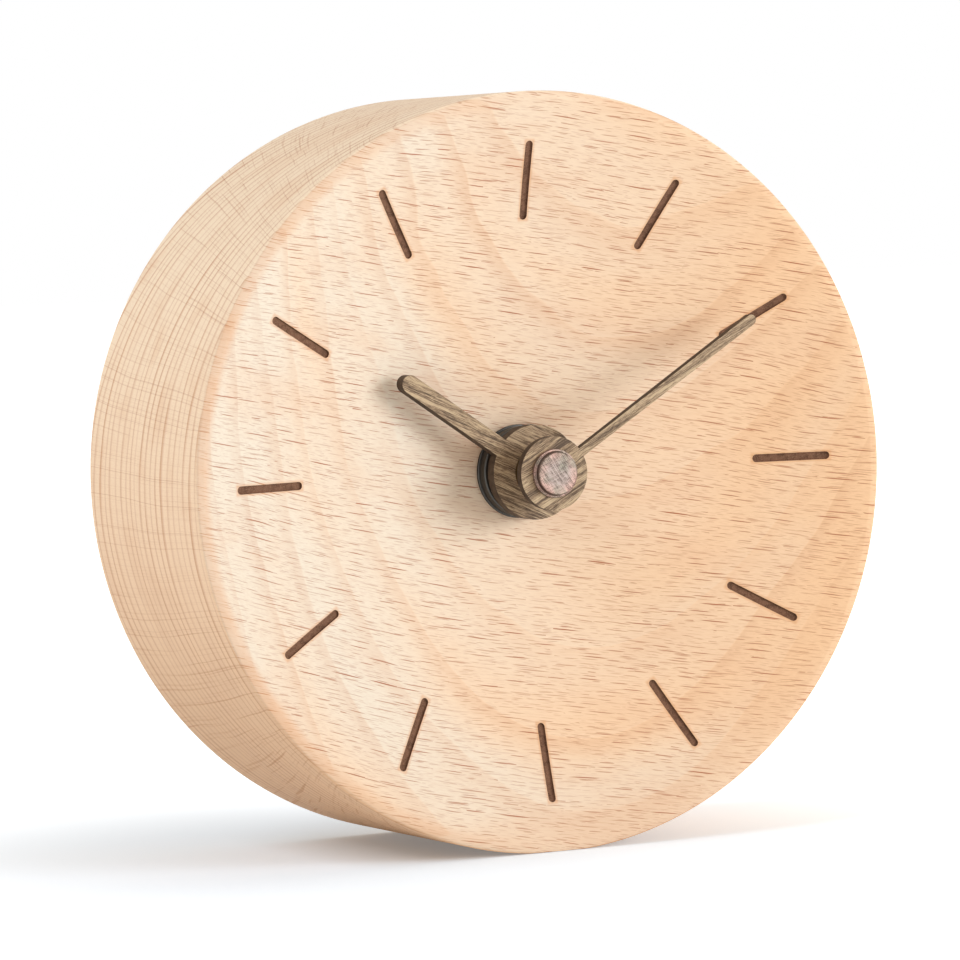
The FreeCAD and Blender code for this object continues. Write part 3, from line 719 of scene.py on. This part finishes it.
def beech_finish(settings):
    """Oiled beech with painted light: the dial is paler on its lit left and warmer on its shaded
    right, the outside paler on its lit top, with painted warm shade along the dish's left edge.
    """
    material, shader = new_finish("oiled_beech")
    place = millimetres(shader)
    x, depth, z = split(place)
    grain = shared("Beech grain", place)
    rays, fibre, cloud = grain["Rays"], grain["Fibre"], grain["Cloud"]
    reach = distance(x, z)
    rim = settings.radius / MM
    behind_dish = 10.0
    outside = reach.between(rim - 0.25, rim - 0.05)
    front = depth.between(behind_dish - 0.5, behind_dish + 0.5, 1.0, 0.0)
    # Painted light and shade: the dial is paler on the left, which faces the lamp, warmer on the
    # shaded right, a little paler towards the top; the grain's tone adds random change
    painted_light_and_tone = x * 0.009 - z * 0.001 + 0.49 + (grain["Tone"] - 0.5)
    base = mixed(painted_light_and_tone.between(0.0, 1.0), settings.pale, settings.tan)
    # Painted light: the outside is paler towards the lit top and darker towards the shaded bottom
    outer = mixed(z.between(-45.0, 42.0), settings.outer_low, settings.outer_high)
    # Painted shade: a warm band inside the rim, on the dish's left only
    painted_rim_shade = reach.between(rim - 2.6, rim - 1.1) * (x * -1.0).between(-10.0, 45.0) * front
    for share, over in (
            (outside * 0.85, outer),
            (cloud.between(0.48, 0.72) * 0.3, settings.cloud),
            (fibre.between(0.35, 0.75) * 0.14, settings.ring),
            (grain["Ring"] * (outside * 0.68 + 0.27), settings.ring),
            (rays * (outside * -0.62 + 0.95), settings.ray),
            (painted_rim_shade * (1.0 - outside) * (cloud * 0.7 + 0.1), settings.rim_tint),
            (singed(x, z, settings) * front * 0.5, settings.singe)):
        base = mixed(share, base, over)
    fill_shader(shader, fibre * 0.35 - rays, 0.03, 0.4, {
        "Base Color": base, "Roughness": fibre * 0.12 + rays * 0.2 + 0.48,
        "Specular IOR Level": 0.18})
    return material


def burn_finish(settings):
    """Burnt wood with char and ash in its fibres."""
    material, shader = new_finish("burnt_mark")
    place = millimetres(shader)
    fibre = shared("Beech grain", place)["Fibre"]
    speck = cloudy(place, 7.0, 2.0, 0.6)
    patches = cloudy(place, 1.1, 4.0, 0.7).between(0.42, 0.66)
    base = mixed(patches * 0.6 + fibre * 0.3, settings.burn, settings.char)
    base = mixed(speck.between(0.5, 0.66) * 0.5, base, settings.ash)
    fill_shader(shader, speck + fibre, 0.04, 0.6, {
        "Base Color": base, "Roughness": 0.85, "Specular IOR Level": 0.15})
    return material


def dark_wood_finish(name, settings, grain_angle, seed, edge):
    """Dark streaky wood; a cut edge is browner and nearly even."""
    material, shader = new_finish(name)
    grain = shared("Dark wood streaks", millimetres(shader), Turn=-grain_angle, Seed=seed)
    height = grain["Height"]
    base = mixed(grain["Light"] * 0.75, settings.face, settings.light)
    base = mixed(grain["Dark"] * 0.85, base, settings.dark)
    if edge:
        base = mixed(height.between(0.3, 0.7) * 0.15 + 0.82, base, settings.edge)
    fill_shader(shader, height, 0.05, 0.6, {
        "Base Color": base, "Roughness": height * 0.2 + 0.5, "Specular IOR Level": 0.3})
    return material


def cap_finish(settings):
    """Brushed metal with a dull film, and painted shade in the step round the crown."""
    material, shader = new_finish("brushed_cap")
    place = millimetres(shader)
    x, _, z = split(place)
    marks = shared("Brushed scratches", place)
    scratch = marks["Scratch"]
    reach = distance(x, z)
    crown = settings.cap_radius / MM
    # Painted shade: a dark ring at the step where the crown meets the lip
    step = reach.between(crown - 0.14, crown - 0.02)
    step = step * reach.between(crown + 0.02, crown + 0.1, 1.0, 0.0)
    base = mixed(reach.between(1.2, 2.8), settings.cap_metal, settings.cap_edge)
    base = mixed(marks["Tone"].between(0.4, 0.65) * 0.7, base, settings.cap_film)
    base = mixed(scratch.between(0.35, 0.75) * 0.8, base, settings.cap_scratch)
    base = mixed(step * 0.8, base, settings.cap_scratch)
    fill_shader(shader, scratch, 0.02, 0.5, {
        "Base Color": base, "Roughness": scratch * 0.25 + 0.32, "Metallic": 0.8})
    return material


def turned_metal_finish(name, metal, rough, metallic, scale=4.0):
    """Metal with faint scratches and slow tone changes."""
    material, shader = new_finish(name)
    marks = shared("Brushed scratches", millimetres(shader), Scale=scale)
    scratch = marks["Scratch"]
    dark = tuple(value * 0.72 for value in metal)
    base = mixed(scratch * 0.35 + marks["Tone"].between(0.35, 0.75) * 0.4, metal, dark)
    fill_shader(shader, scratch, 0.01, 0.4, {
        "Base Color": base, "Roughness": scratch * 0.15 + rough, "Metallic": metallic})
    return material


def moulded_finish(name, tint, rough, grain_size=6.0, grain_depth=0.02, dust=0.1):
    """Moulded plastic, rubber or resin."""
    material, shader = new_finish(name)
    skin = shared("Moulded surface", millimetres(shader), Grain_size=grain_size)
    lighter = tuple(value * 1.25 + 0.01 for value in tint)
    base = mixed(skin["Tone"].between(0.3, 0.7), tint, lighter)
    base = mixed(skin["Dust"] * dust, base, screen_colour(150, 146, 140))
    fill_shader(shader, skin["Grain"], grain_depth, 0.6, {
        "Base Color": base, "Roughness": skin["Grain"] * 0.2 + rough})
    return material


def cell_finish(settings):
    """Satin sleeve with a dark band near the plus end."""
    band_start = 12.0
    material, shader = new_finish("satin_sleeve")
    place = millimetres(shader)
    x, _, _ = split(place)
    skin = shared("Moulded surface", place, Grain_size=3.0)
    base = mixed(skin["Tone"].between(0.3, 0.7) * 0.15, settings.sleeve, settings.bare)
    base = mixed(x.between(band_start - 0.1, band_start + 0.1), base, settings.sleeve_band)
    fill_shader(shader, skin["Grain"], 0.006, 0.5, {
        "Base Color": base, "Roughness": skin["Grain"] * 0.12 + 0.26, "Metallic": 0.35})
    return material


# Pieces

def build_drum(settings):
    """The turned drum with its dish, seat, pocket, foot flat and marks."""
    mesh = bmesh.new()
    steps = 360
    spacing, first_gap, clearance = 1.3 * MM, 0.6 * MM, 0.5 * MM
    dish_radius = settings.radius - settings.rim_band
    ball = (dish_radius ** 2 + settings.dish_depth ** 2) / (2 * settings.dish_depth)
    edge = settings.dish_edge_round
    inner_edge = dish_radius - edge
    seat = settings.seat_radius

    def dish(radius):
        return math.sqrt(ball ** 2 - radius ** 2) - ball + settings.dish_depth

    def bars(margin):
        return [bar_outline(settings.mark_inner - margin, settings.mark_outer + margin,
                            settings.mark_width + 2 * margin, 2 * math.pi * hour / settings.marks)
                for hour in range(settings.marks)]

    slots, guards = bars(0.0), bars(clearance)
    extra = []
    radius = seat + first_gap
    while radius < inner_edge - clearance:
        extra += [point for point in circle(radius, int(2 * math.pi * radius / spacing))
                  if not any(inside(point, guard) for guard in guards)]
        radius += spacing
    points, triangles = triangles_between(
        [circle(inner_edge, steps), circle(seat, steps)] + slots, extra)
    top, floor = {}, {}

    def vertex(store, index, drop):
        if index not in store:
            x, z = points[index]
            store[index] = mesh.verts.new(dial_point(x, dish(math.hypot(x, z)) + drop, z))
        return store[index]

    for corners, middle in triangles:
        reach = middle.length
        if reach > inner_edge * 0.99999 or reach < seat * 0.9999:
            continue
        if settings.mark_inner < reach < settings.mark_outer and any(
                inside(middle, slot) for slot in slots):
            face = mesh.faces.new([vertex(floor, i, settings.mark_depth) for i in corners])
            face.material_index = 1
        else:
            mesh.faces.new([vertex(top, i, 0.0) for i in corners])
    first = 2 * steps
    for slot in slots:
        for start, end in loop_edges(slot, first):
            side = mesh.faces.new([top[start], top[end], floor[end], floor[start]])
            side.material_index = 1
        first += len(slot)

    r, d, b = settings.radius, settings.depth, settings.back_round
    pocket, mouth = settings.pocket_radius, settings.pocket_round
    rim, bore = settings.rim_round, settings.bore_radius
    dish_back = settings.dish_depth
    web_back = dish_back + settings.web
    outline = [(inner_edge, dish(inner_edge)), (dish_radius, edge * 0.12),
               (dish_radius + edge, 0.0)]
    outline += arc((r - rim, rim), rim, -90, 0, 6)
    outline += [(r, depth) for depth in spread(rim, d - b, 16)[1:-1]]
    outline += arc((r - b, d - b), b, 0, 90, 8)
    outline += arc((pocket + mouth, d - mouth), mouth, 90, 180, 5)
    outline += [(pocket, web_back), (bore, web_back), (bore, dish_back), (seat, dish_back),
                (seat, dish(seat))]
    lathe(mesh, outline, steps)
    for vert in mesh.verts:
        vert.co.z = max(vert.co.z, drum_low.z)
    paints = [beech_finish(settings), burn_finish(settings)]
    finish_mesh("turned_drum", mesh, paints, "clock_body", "wooden_body")


def hand_outline(disc, reach, root, tip):
    """Outline of a flat hand that points to 12: a disc and a round-ended blade."""
    disc_steps, tip_steps = 72, 16
    tip_radius = tip / 2
    end = reach - tip_radius
    half_at_disc = root / 2 + (tip - root) / 2 * disc / end
    gap = math.asin(half_at_disc / disc)
    turns = [math.pi / 2 + gap + (2 * math.pi - 2 * gap) * step / disc_steps
             for step in range(disc_steps + 1)]
    tip_turns = [math.pi * step / tip_steps for step in range(tip_steps + 1)]
    return points_at(disc, turns) + points_at(tip_radius, tip_turns, (0.0, end))


def build_hand(name, node, sizes, clock_angle, bore, bevel, paints):
    """Flat hand between two depths, with its bore and lightly rounded cut edges."""
    solid = Extent(node)
    outline = [turned_point(p, clock_angle) for p in hand_outline(*sizes)]
    hole = circle(bore, 48)
    points, triangles = triangles_between([outline, hole])
    mesh = bmesh.new()
    layers = [ring_at(mesh, points, depth) for depth in (solid.front, solid.back)]
    for layer in layers:
        for corners, middle in triangles:
            if middle.length > bore * 0.999 and inside(middle, outline):
                mesh.faces.new([layer[i] for i in corners])
    front, back = layers
    for start, end in loop_edges(outline, 0) + loop_edges(hole, len(outline)):
        cut = mesh.faces.new([front[start], front[end], back[end], back[start]])
        cut.material_index = 1
    piece = finish_mesh(name, mesh, paints, node, node)
    soften = piece.modifiers.new("Soft edges", "BEVEL")
    soften.width = bevel
    soften.segments = 2
    soften.limit_method = "ANGLE"
    soften.angle_limit = math.radians(50)
    soften.harden_normals = False


def build_cap(settings):
    """Brushed cap: a chamfered crown on a thin lip, with its post behind."""
    cap, face = Extent("centre_cap"), Extent("minute_hand").front
    front, post = cap.front, settings.cap_post
    lip, crown, c = settings.cap_lip, settings.cap_radius, settings.cap_chamfer
    lip_front = face - settings.cap_lip_height
    r = settings.cap_fillet
    outline = [(crown * share, front) for share in (0.0, 0.3, 0.6)]
    outline += [(crown - c, front), (crown - c * 0.35, front + c * 0.35), (crown, front + c)]
    outline += [(crown, lip_front - r), (crown + r, lip_front)]
    outline += arc((lip - r, lip_front + r), r, -90, 0, 4)
    outline += [(lip, face), (post, face), (post, cap.back), (0.0, cap.back)]
    mesh = bmesh.new()
    lathe(mesh, outline, 96)
    finish_mesh("brushed_cap", mesh, [cap_finish(settings)], "minute_hand",
                "centre_cap", 25.0)


def build_nut(settings):
    """Round nut with a chamfered edge, and the flat washer under it."""
    metal = turned_metal_finish("gunmetal", settings.nut_metal, 0.28, 0.75)
    nut, washer, bore = Extent("dial_nut"), Extent("dial_washer"), settings.nut_bore
    for name, node, solid, edge, start, end, sharp in (
            ("round_nut", "dial_nut", nut, settings.nut_chamfer, -75, -15, 25.0),
            ("flat_washer", "dial_washer", washer, (washer.back - washer.front) / 3, -90, 0, 30.0)):
        front, back, radius = solid.front, solid.back, solid.half
        outline = [(bore, back), (bore, front), (radius - edge, front)]
        outline += arc((radius - edge, front + edge), edge, start, end, 4)
        outline += [(radius, front + edge), (radius, back), (bore, back)]
        mesh = bmesh.new()
        lathe(mesh, outline, 144)
        finish_mesh(name, mesh, [metal], "clock_body", node, sharp)


def build_case(settings):
    """Rear shell of the movement, with its battery bay, sunken panel and bearing holes."""
    mesh = bmesh.new()
    solid = Extent("movement_case_back")
    half, open_side, rear = solid.half, solid.front, solid.back
    hollow = half - settings.case_wall
    floor = rear - settings.case_wall
    pivot_gap, least_hole = 0.05 * MM, 0.1 * MM
    corner, bend, lip = settings.case_corner, settings.case_round, settings.bay_lip
    rows = [(rear - bend * (1 - math.sin(t)), -bend * (1 - math.cos(t)))
            for t in (math.radians(value) for value in (0, 30, 60, 90))]
    outer = rectangle_wall(mesh, (-half, half, -half, half), corner, corner,
                           [(open_side, 0.0)] + rows)
    bay = rectangle_wall(
        mesh, (-hollow, hollow, -hollow, settings.bay_top), lip, settings.bay_corner,
        ((open_side, 0.0), (rear - lip, 0.0), (rear - lip * 0.3, lip * 0.3), (rear, lip)))
    room = rectangle_wall(
        mesh, (-hollow, hollow, settings.bay_top + settings.divider, hollow), lip, lip,
        ((open_side, 0.0), (floor, 0.0)))
    plane(mesh, outer[0], bay[0], room[0])
    holes = []
    for node in ("seconds_wheel", "third_wheel", "intermediate_wheel", "rotor_pinion"):
        wheel = Extent(node)
        ring = circle(settings.pivot_hole, 24, wheel.place)
        mouth = ring_at(mesh, ring, floor)
        end = ring_at(mesh, ring, max(wheel.back + pivot_gap, floor + least_hole))
        wall(mesh, mouth, end)
        plane(mesh, end)
        holes.append(mouth)
    shaft = circle(settings.shaft_hole, 24, Extent("setting_knob").place)
    shaft_front, shaft_back = ring_at(mesh, shaft, floor), ring_at(mesh, shaft, rear)
    wall(mesh, shaft_front, shaft_back)
    plane(mesh, room[1], shaft_front, *holes)
    panel = rectangle_wall(
        mesh, (-settings.panel_half, settings.panel_half, settings.panel_low, settings.panel_high),
        settings.panel_corner, settings.panel_corner,
        ((rear, 0.0), (rear - settings.panel_depth, -settings.panel_slope)), 0)
    plane(mesh, panel[-1])
    plane(mesh, outer[-1], bay[-1], shaft_back, panel[0])
    paint = moulded_finish("black_case_back", settings.case_plastic, 0.45)
    finish_mesh("moulded_case_back", mesh, [paint], "clock_body",
                "movement_case_back", 35.0)


def build_knob(settings):
    """Setting knob with soft ribs and a sunken face."""
    mesh = bmesh.new()
    steps_per_rib = 12
    solid = Extent("setting_knob")
    start, end, radius = solid.front, solid.back, solid.half
    r, shaft, sunk = settings.knob_round, settings.shaft, end - settings.knob_dish
    plain, ribbed = 0.0, 1.0
    outline = [(shaft, start, plain), (radius - r, start, ribbed), (radius, start + r, ribbed),
               (radius, end - r, ribbed)]
    outline += [(x, depth, ribbed) for x, depth in arc((radius - r, end - r), r, 25, 90, 3)]
    outline += [(radius * share, depth, plain)
                for share, depth in ((0.76, end), (0.70, sunk), (0.36, sunk), (0.30, end))]
    outline += [(shaft, end, plain), (shaft, start, plain)]
    rings = []
    for reach, depth, share in outline:
        points = []
        for turn in round_turn(settings.ribs * steps_per_rib):
            groove = settings.rib_depth * (0.5 - 0.5 * math.cos(settings.ribs * turn)) * share
            points += points_at(reach - groove, [turn], solid.place)
        rings.append(ring_at(mesh, points, depth))
    wall(mesh, *rings)
    paint = moulded_finish("black_knob", settings.knob_plastic, 0.4, 4.0)
    finish_mesh("ribbed_knob", mesh, [paint], "setting_knob", "setting_knob", 35.0)


def build_cell(settings):
    """Cell with a wrapped sleeve and bare ends."""
    mesh = bmesh.new()
    solid = Extent("battery_cell")
    left, right = solid.left, solid.right
    radius = (solid.top - solid.bottom) / 2
    can = right - settings.nub_length
    nub = settings.nub_radius / MM
    shoulder, hem = settings.shoulder, 0.15 * MM
    sleeve, bare = 0, 1

    def rows(end, table):
        return [(reach * MM, end + x * MM, paint) for x, reach, paint in table]

    def bend(x, degrees):
        turns = [math.radians(value) for value in degrees]
        return [(reach, along, sleeve)
                for along, reach in points_at(shoulder, turns, (x, radius - shoulder))]

    outline = rows(left, ((0.25, 0.0, bare), (0.25, 4.6, bare), (0.0, 4.9, bare),
                          (0.0, 5.9, bare), (0.15, 6.1, sleeve)))
    outline += bend(left + hem + shoulder, (180, 160, 135, 110, 90))
    outline += bend(can - shoulder, (90, 70, 45, 20, 0))
    outline += rows(can, ((0.0, 6.2, sleeve), (-0.3, 6.0, bare), (-0.3, nub + 0.5, bare),
                          (-0.15, nub + 0.1, bare), (0.0, nub, bare)))
    outline += rows(right, ((-0.3, nub, bare), (-0.09, nub - 0.09, bare), (0.0, nub - 0.3, bare),
                            (0.0, 0.0, bare)))

    def about_cell(reach, along, turn):
        return dial_point(along, solid.depth + reach * math.cos(turn),
                          solid.place[1] + reach * math.sin(turn))

    lathe(mesh, [row[:2] for row in outline], 72, about_cell, [row[2] for row in outline[1:]])
    paints = [cell_finish(settings), turned_metal_finish("nickel_ends", settings.bare, 0.25, 1.0)]
    finish_mesh("sleeved_cell", mesh, paints, "battery", "battery_cell", 35.0)


def build_spring(settings):
    """Contact strip with a conical wire spring for the cell's flat end."""
    mesh = bmesh.new()
    solid, cell = Extent("battery_minus_contact"), Extent("battery_cell")
    face, bevel = solid.left + settings.strip, 0.05 * MM
    upper_corner, lower_corner = 0.3 * MM, 1.2 * MM
    steps_per_coil, sides = 32, 8
    middle_z = (solid.bottom + solid.top) / 2
    strip = rounded_rectangle((solid.front, solid.back, solid.bottom, solid.top),
                              upper_corner, lower_corner)
    rings = []
    for x, inset in ((solid.left, 0.0), (face - bevel, 0.0), (face, bevel)):
        rings.append([mesh.verts.new(dial_point(x, y - math.copysign(inset, y - solid.depth),
                                                z - math.copysign(inset, z - middle_z)))
                      for y, z in strip])
    coil_steps = settings.coils * steps_per_coil
    start, end = face + settings.wire, solid.right - settings.wire
    tube = []
    for step in range(coil_steps + 1):
        share = step / coil_steps
        turn = 2 * math.pi * settings.coils * share
        reach = settings.coil_wide + (settings.coil_narrow - settings.coil_wide) * share
        x = start + (end - start) * share
        ring = []
        for out, aside in circle(settings.wire, sides):
            y, z = points_at(reach + out, [turn], (cell.depth, cell.place[1]))[0]
            ring.append(mesh.verts.new(dial_point(x + aside, y, z)))
        tube.append(ring)
    for body in (rings, tube):
        wall(mesh, *body)
        mesh.faces.new(body[0])
        mesh.faces.new(body[-1])
    paint = turned_metal_finish("spring_nickel", settings.bare, 0.25, 1.0)
    finish_mesh("coil_strip", mesh, [paint], "clock_body", "battery_minus_contact")


def finish_solids():
    """Give every solid that shows as it is its own finish."""
    finishes = {slot: make(name, screen_colour(*tint), *rest)
                for make, table in ((turned_metal_finish, METAL_SOLIDS),
                                    (moulded_finish, MOULDED_SOLIDS))
                for slot, (name, tint, *rest) in table.items()}
    for part in frame["record"]["subparts"]:
        solid = frame["nodes"][part["node"]]
        if not solid.hide_render:
            solid.data.materials.clear()
            solid.data.materials.append(finishes[part["material_slot"]])


# Stage

def bright_rays(tree):
    """1 for camera, glossy and transmitted rays, else 0."""
    path = node_outputs(tree, "ShaderNodeLightPath", {})
    seen = path["Is Camera Ray"] + path["Is Glossy Ray"]
    return (seen + path["Is Transmission Ray"]).function("MINIMUM", 1.0)


def build_floor(settings):
    """Pale floor whose added light grows with the distance from the clock; the weak glow a little
    left of the clock paints the floor's shadow darker there, and part of the glow lights the clock.
    """
    white = (1.0, 1.0, 1.0)
    material, shader = new_finish("white_floor")
    tree = shader.id_data
    x, y, _ = split(node_outputs(tree, "ShaderNodeTexCoord", {})["Object"])
    reach = distance(x + settings.glow_left, y)
    glow = reach.between(0.0, settings.glow_reach, settings.near_glow, settings.far_glow)
    share = bright_rays(tree) * (1.0 - settings.bounce) + settings.bounce
    fill(shader, {"Base Color": tuple(settings.floor_colour), "Roughness": 1.0,
                  "Specular IOR Level": 0.0, "Emission Color": white,
                  "Emission Strength": share * glow})
    half = settings.floor_half
    mesh = bmesh.new()
    mesh.faces.new([mesh.verts.new((half * x, half * y, drum_low.z - settings.floor_drop))
                    for x, y in ((-1, -1), (1, -1), (1, 1), (-1, 1))])
    placed_mesh("studio_floor", mesh, [material])


def build_sky(settings):
    """White to the camera, tinted and weaker for the light that it gives."""
    world = bpy.data.worlds.new("studio_white")
    world.use_nodes = True
    seen = bright_rays(world.node_tree)
    fill(world.node_tree.nodes["Background"], {
        "Color": mixed(seen, settings.sky_tint, (1.0, 1.0, 1.0)),
        "Strength": seen * (1.0 - settings.sky_light) + settings.sky_light})
    bpy.context.scene.world = world


def soft_lamp(name, direction, away, width, height, power, tint):
    """Area lamp that looks at the middle of the clock."""
    lamp = bpy.data.lights.new(name, "AREA")
    lamp.shape = "RECTANGLE"
    lamp.size, lamp.size_y = width, height
    lamp.energy = power
    lamp.color = tint
    piece = linked(name, lamp)
    aim = Vector(direction).normalized()
    piece.location = dial_point(0.0, 0.0, 0.0) + aim * away
    piece.rotation_euler = (-aim).to_track_quat("-Z", "Y").to_euler()


def build_camera(settings):
    """Camera of the photo, with its place, heading, pitch and roll."""
    data = bpy.data.cameras.new("photo_camera")
    data.sensor_width = 36.0
    data.lens = settings.camera_lens
    data.clip_start, data.clip_end = 0.05, 20.0
    camera = linked("photo_camera", data)
    camera.location = settings.camera_place
    heading, pitch = settings.camera_heading, settings.camera_pitch
    level = math.cos(pitch)
    forward = Vector((math.sin(heading) * level, math.cos(heading) * level, -math.sin(pitch)))
    roll = Quaternion((0.0, 0.0, 1.0), -settings.camera_roll)
    camera.rotation_euler = (forward.to_track_quat("-Z", "Y") @ roll).to_euler()
    bpy.context.scene.camera = camera


class DESK_CLOCK_OT_drum(bpy.types.Operator):
    """Turn the beech drum and burn its marks"""

    bl_idname = "desk_clock.drum"
    bl_label = "Turn Drum"

    def execute(self, context):
        build_drum(context.scene.clock_drum)
        return {"FINISHED"}


class DESK_CLOCK_OT_hands(bpy.types.Operator):
    """Cut the hour hand and the minute hand"""

    bl_idname = "desk_clock.hands"
    bl_label = "Cut Hands"

    def execute(self, context):
        s = context.scene.clock_hands
        for name, node, clock_angle, lean, seed, bore, sizes in (
                ("hour_blade", "hour_hand", s.hour_angle, s.hour_lean, 0.0, s.hour_bore,
                 (s.hour_disc, s.hour_reach, s.hour_width, s.hour_width)),
                ("minute_blade", "minute_hand", s.minute_angle, s.minute_lean, 5.0, s.minute_bore,
                 (s.minute_disc, s.minute_reach, s.minute_root, s.minute_tip))):
            paints = [dark_wood_finish(name + part, s, clock_angle + lean, seed, part == "_edge")
                      for part in ("_face", "_edge")]
            build_hand(name, node, sizes, clock_angle, bore, s.edge_round, paints)
        return {"FINISHED"}


class DESK_CLOCK_OT_fittings(bpy.types.Operator):
    """Turn the cap, the round nut and the washer"""

    bl_idname = "desk_clock.fittings"
    bl_label = "Turn Cap and Nut"

    def execute(self, context):
        build_cap(context.scene.clock_fittings)
        build_nut(context.scene.clock_fittings)
        return {"FINISHED"}


class DESK_CLOCK_OT_movement(bpy.types.Operator):
    """Mould the movement's back, its knob, the cell and its spring"""

    bl_idname = "desk_clock.movement"
    bl_label = "Mould Movement"

    def execute(self, context):
        for build in (build_case, build_knob, build_cell, build_spring):
            build(context.scene.clock_movement)
        return {"FINISHED"}


class DESK_CLOCK_OT_solids(bpy.types.Operator):
    """Finish the solids of the movement"""

    bl_idname = "desk_clock.solids"
    bl_label = "Finish Movement"

    def execute(self, context):
        finish_solids()
        return {"FINISHED"}


class DESK_CLOCK_OT_stage(bpy.types.Operator):
    """Set the floor, the lamps and the camera"""

    bl_idname = "desk_clock.stage"
    bl_label = "Set Stage"

    def execute(self, context):
        s = context.scene.clock_stage
        build_floor(s)
        build_sky(s)
        for *row, power in LAMPS:
            soft_lamp(*row, getattr(s, power), s.lamp_tint)
        build_camera(s)
        context.scene.view_settings.view_transform = "Standard"
        return {"FINISHED"}


class DESK_CLOCK_PT_panel(bpy.types.Panel):
    """Sizes, colours and steps of the desk clock"""

    bl_label = "Desk Clock"
    bl_idname = "DESK_CLOCK_PT_panel"
    bl_space_type = "VIEW_3D"
    bl_region_type = "UI"
    bl_category = "Desk Clock"

    def draw(self, context):
        for title, name, _, operator in SECTIONS:
            column = self.layout.box().column(align=True)
            column.label(text=title)
            group = getattr(context.scene, name)
            for label in group.__annotations__:
                column.prop(group, label)
            column.operator(operator.bl_idname)
        self.layout.operator(DESK_CLOCK_OT_solids.bl_idname)


SECTIONS = (
    ("Drum", "clock_drum", DrumSettings, DESK_CLOCK_OT_drum),
    ("Hands", "clock_hands", HandSettings, DESK_CLOCK_OT_hands),
    ("Cap and nut", "clock_fittings", FittingSettings, DESK_CLOCK_OT_fittings),
    ("Movement", "clock_movement", MovementSettings, DESK_CLOCK_OT_movement),
    ("Stage", "clock_stage", StageSettings, DESK_CLOCK_OT_stage),
)
CLASSES = (*(section[2] for section in SECTIONS), *(section[3] for section in SECTIONS),
           DESK_CLOCK_OT_solids, DESK_CLOCK_PT_panel)


def register():
    for entry in CLASSES:
        bpy.utils.register_class(entry)
    for _, name, group, _ in SECTIONS:
        setattr(bpy.types.Scene, name, bpy.props.PointerProperty(type=group))


def unregister():
    for _, name, _, _ in SECTIONS:
        delattr(bpy.types.Scene, name)
    for entry in reversed(CLASSES):
        bpy.utils.unregister_class(entry)


def main():
    register()
    bpy.ops.desk_clock.drum()
    bpy.ops.desk_clock.hands()
    bpy.ops.desk_clock.fittings()
    bpy.ops.desk_clock.movement()
    bpy.ops.desk_clock.solids()
    bpy.ops.desk_clock.stage()
    bpy.context.view_layer.update()


if __name__ == "__main__":
    main()
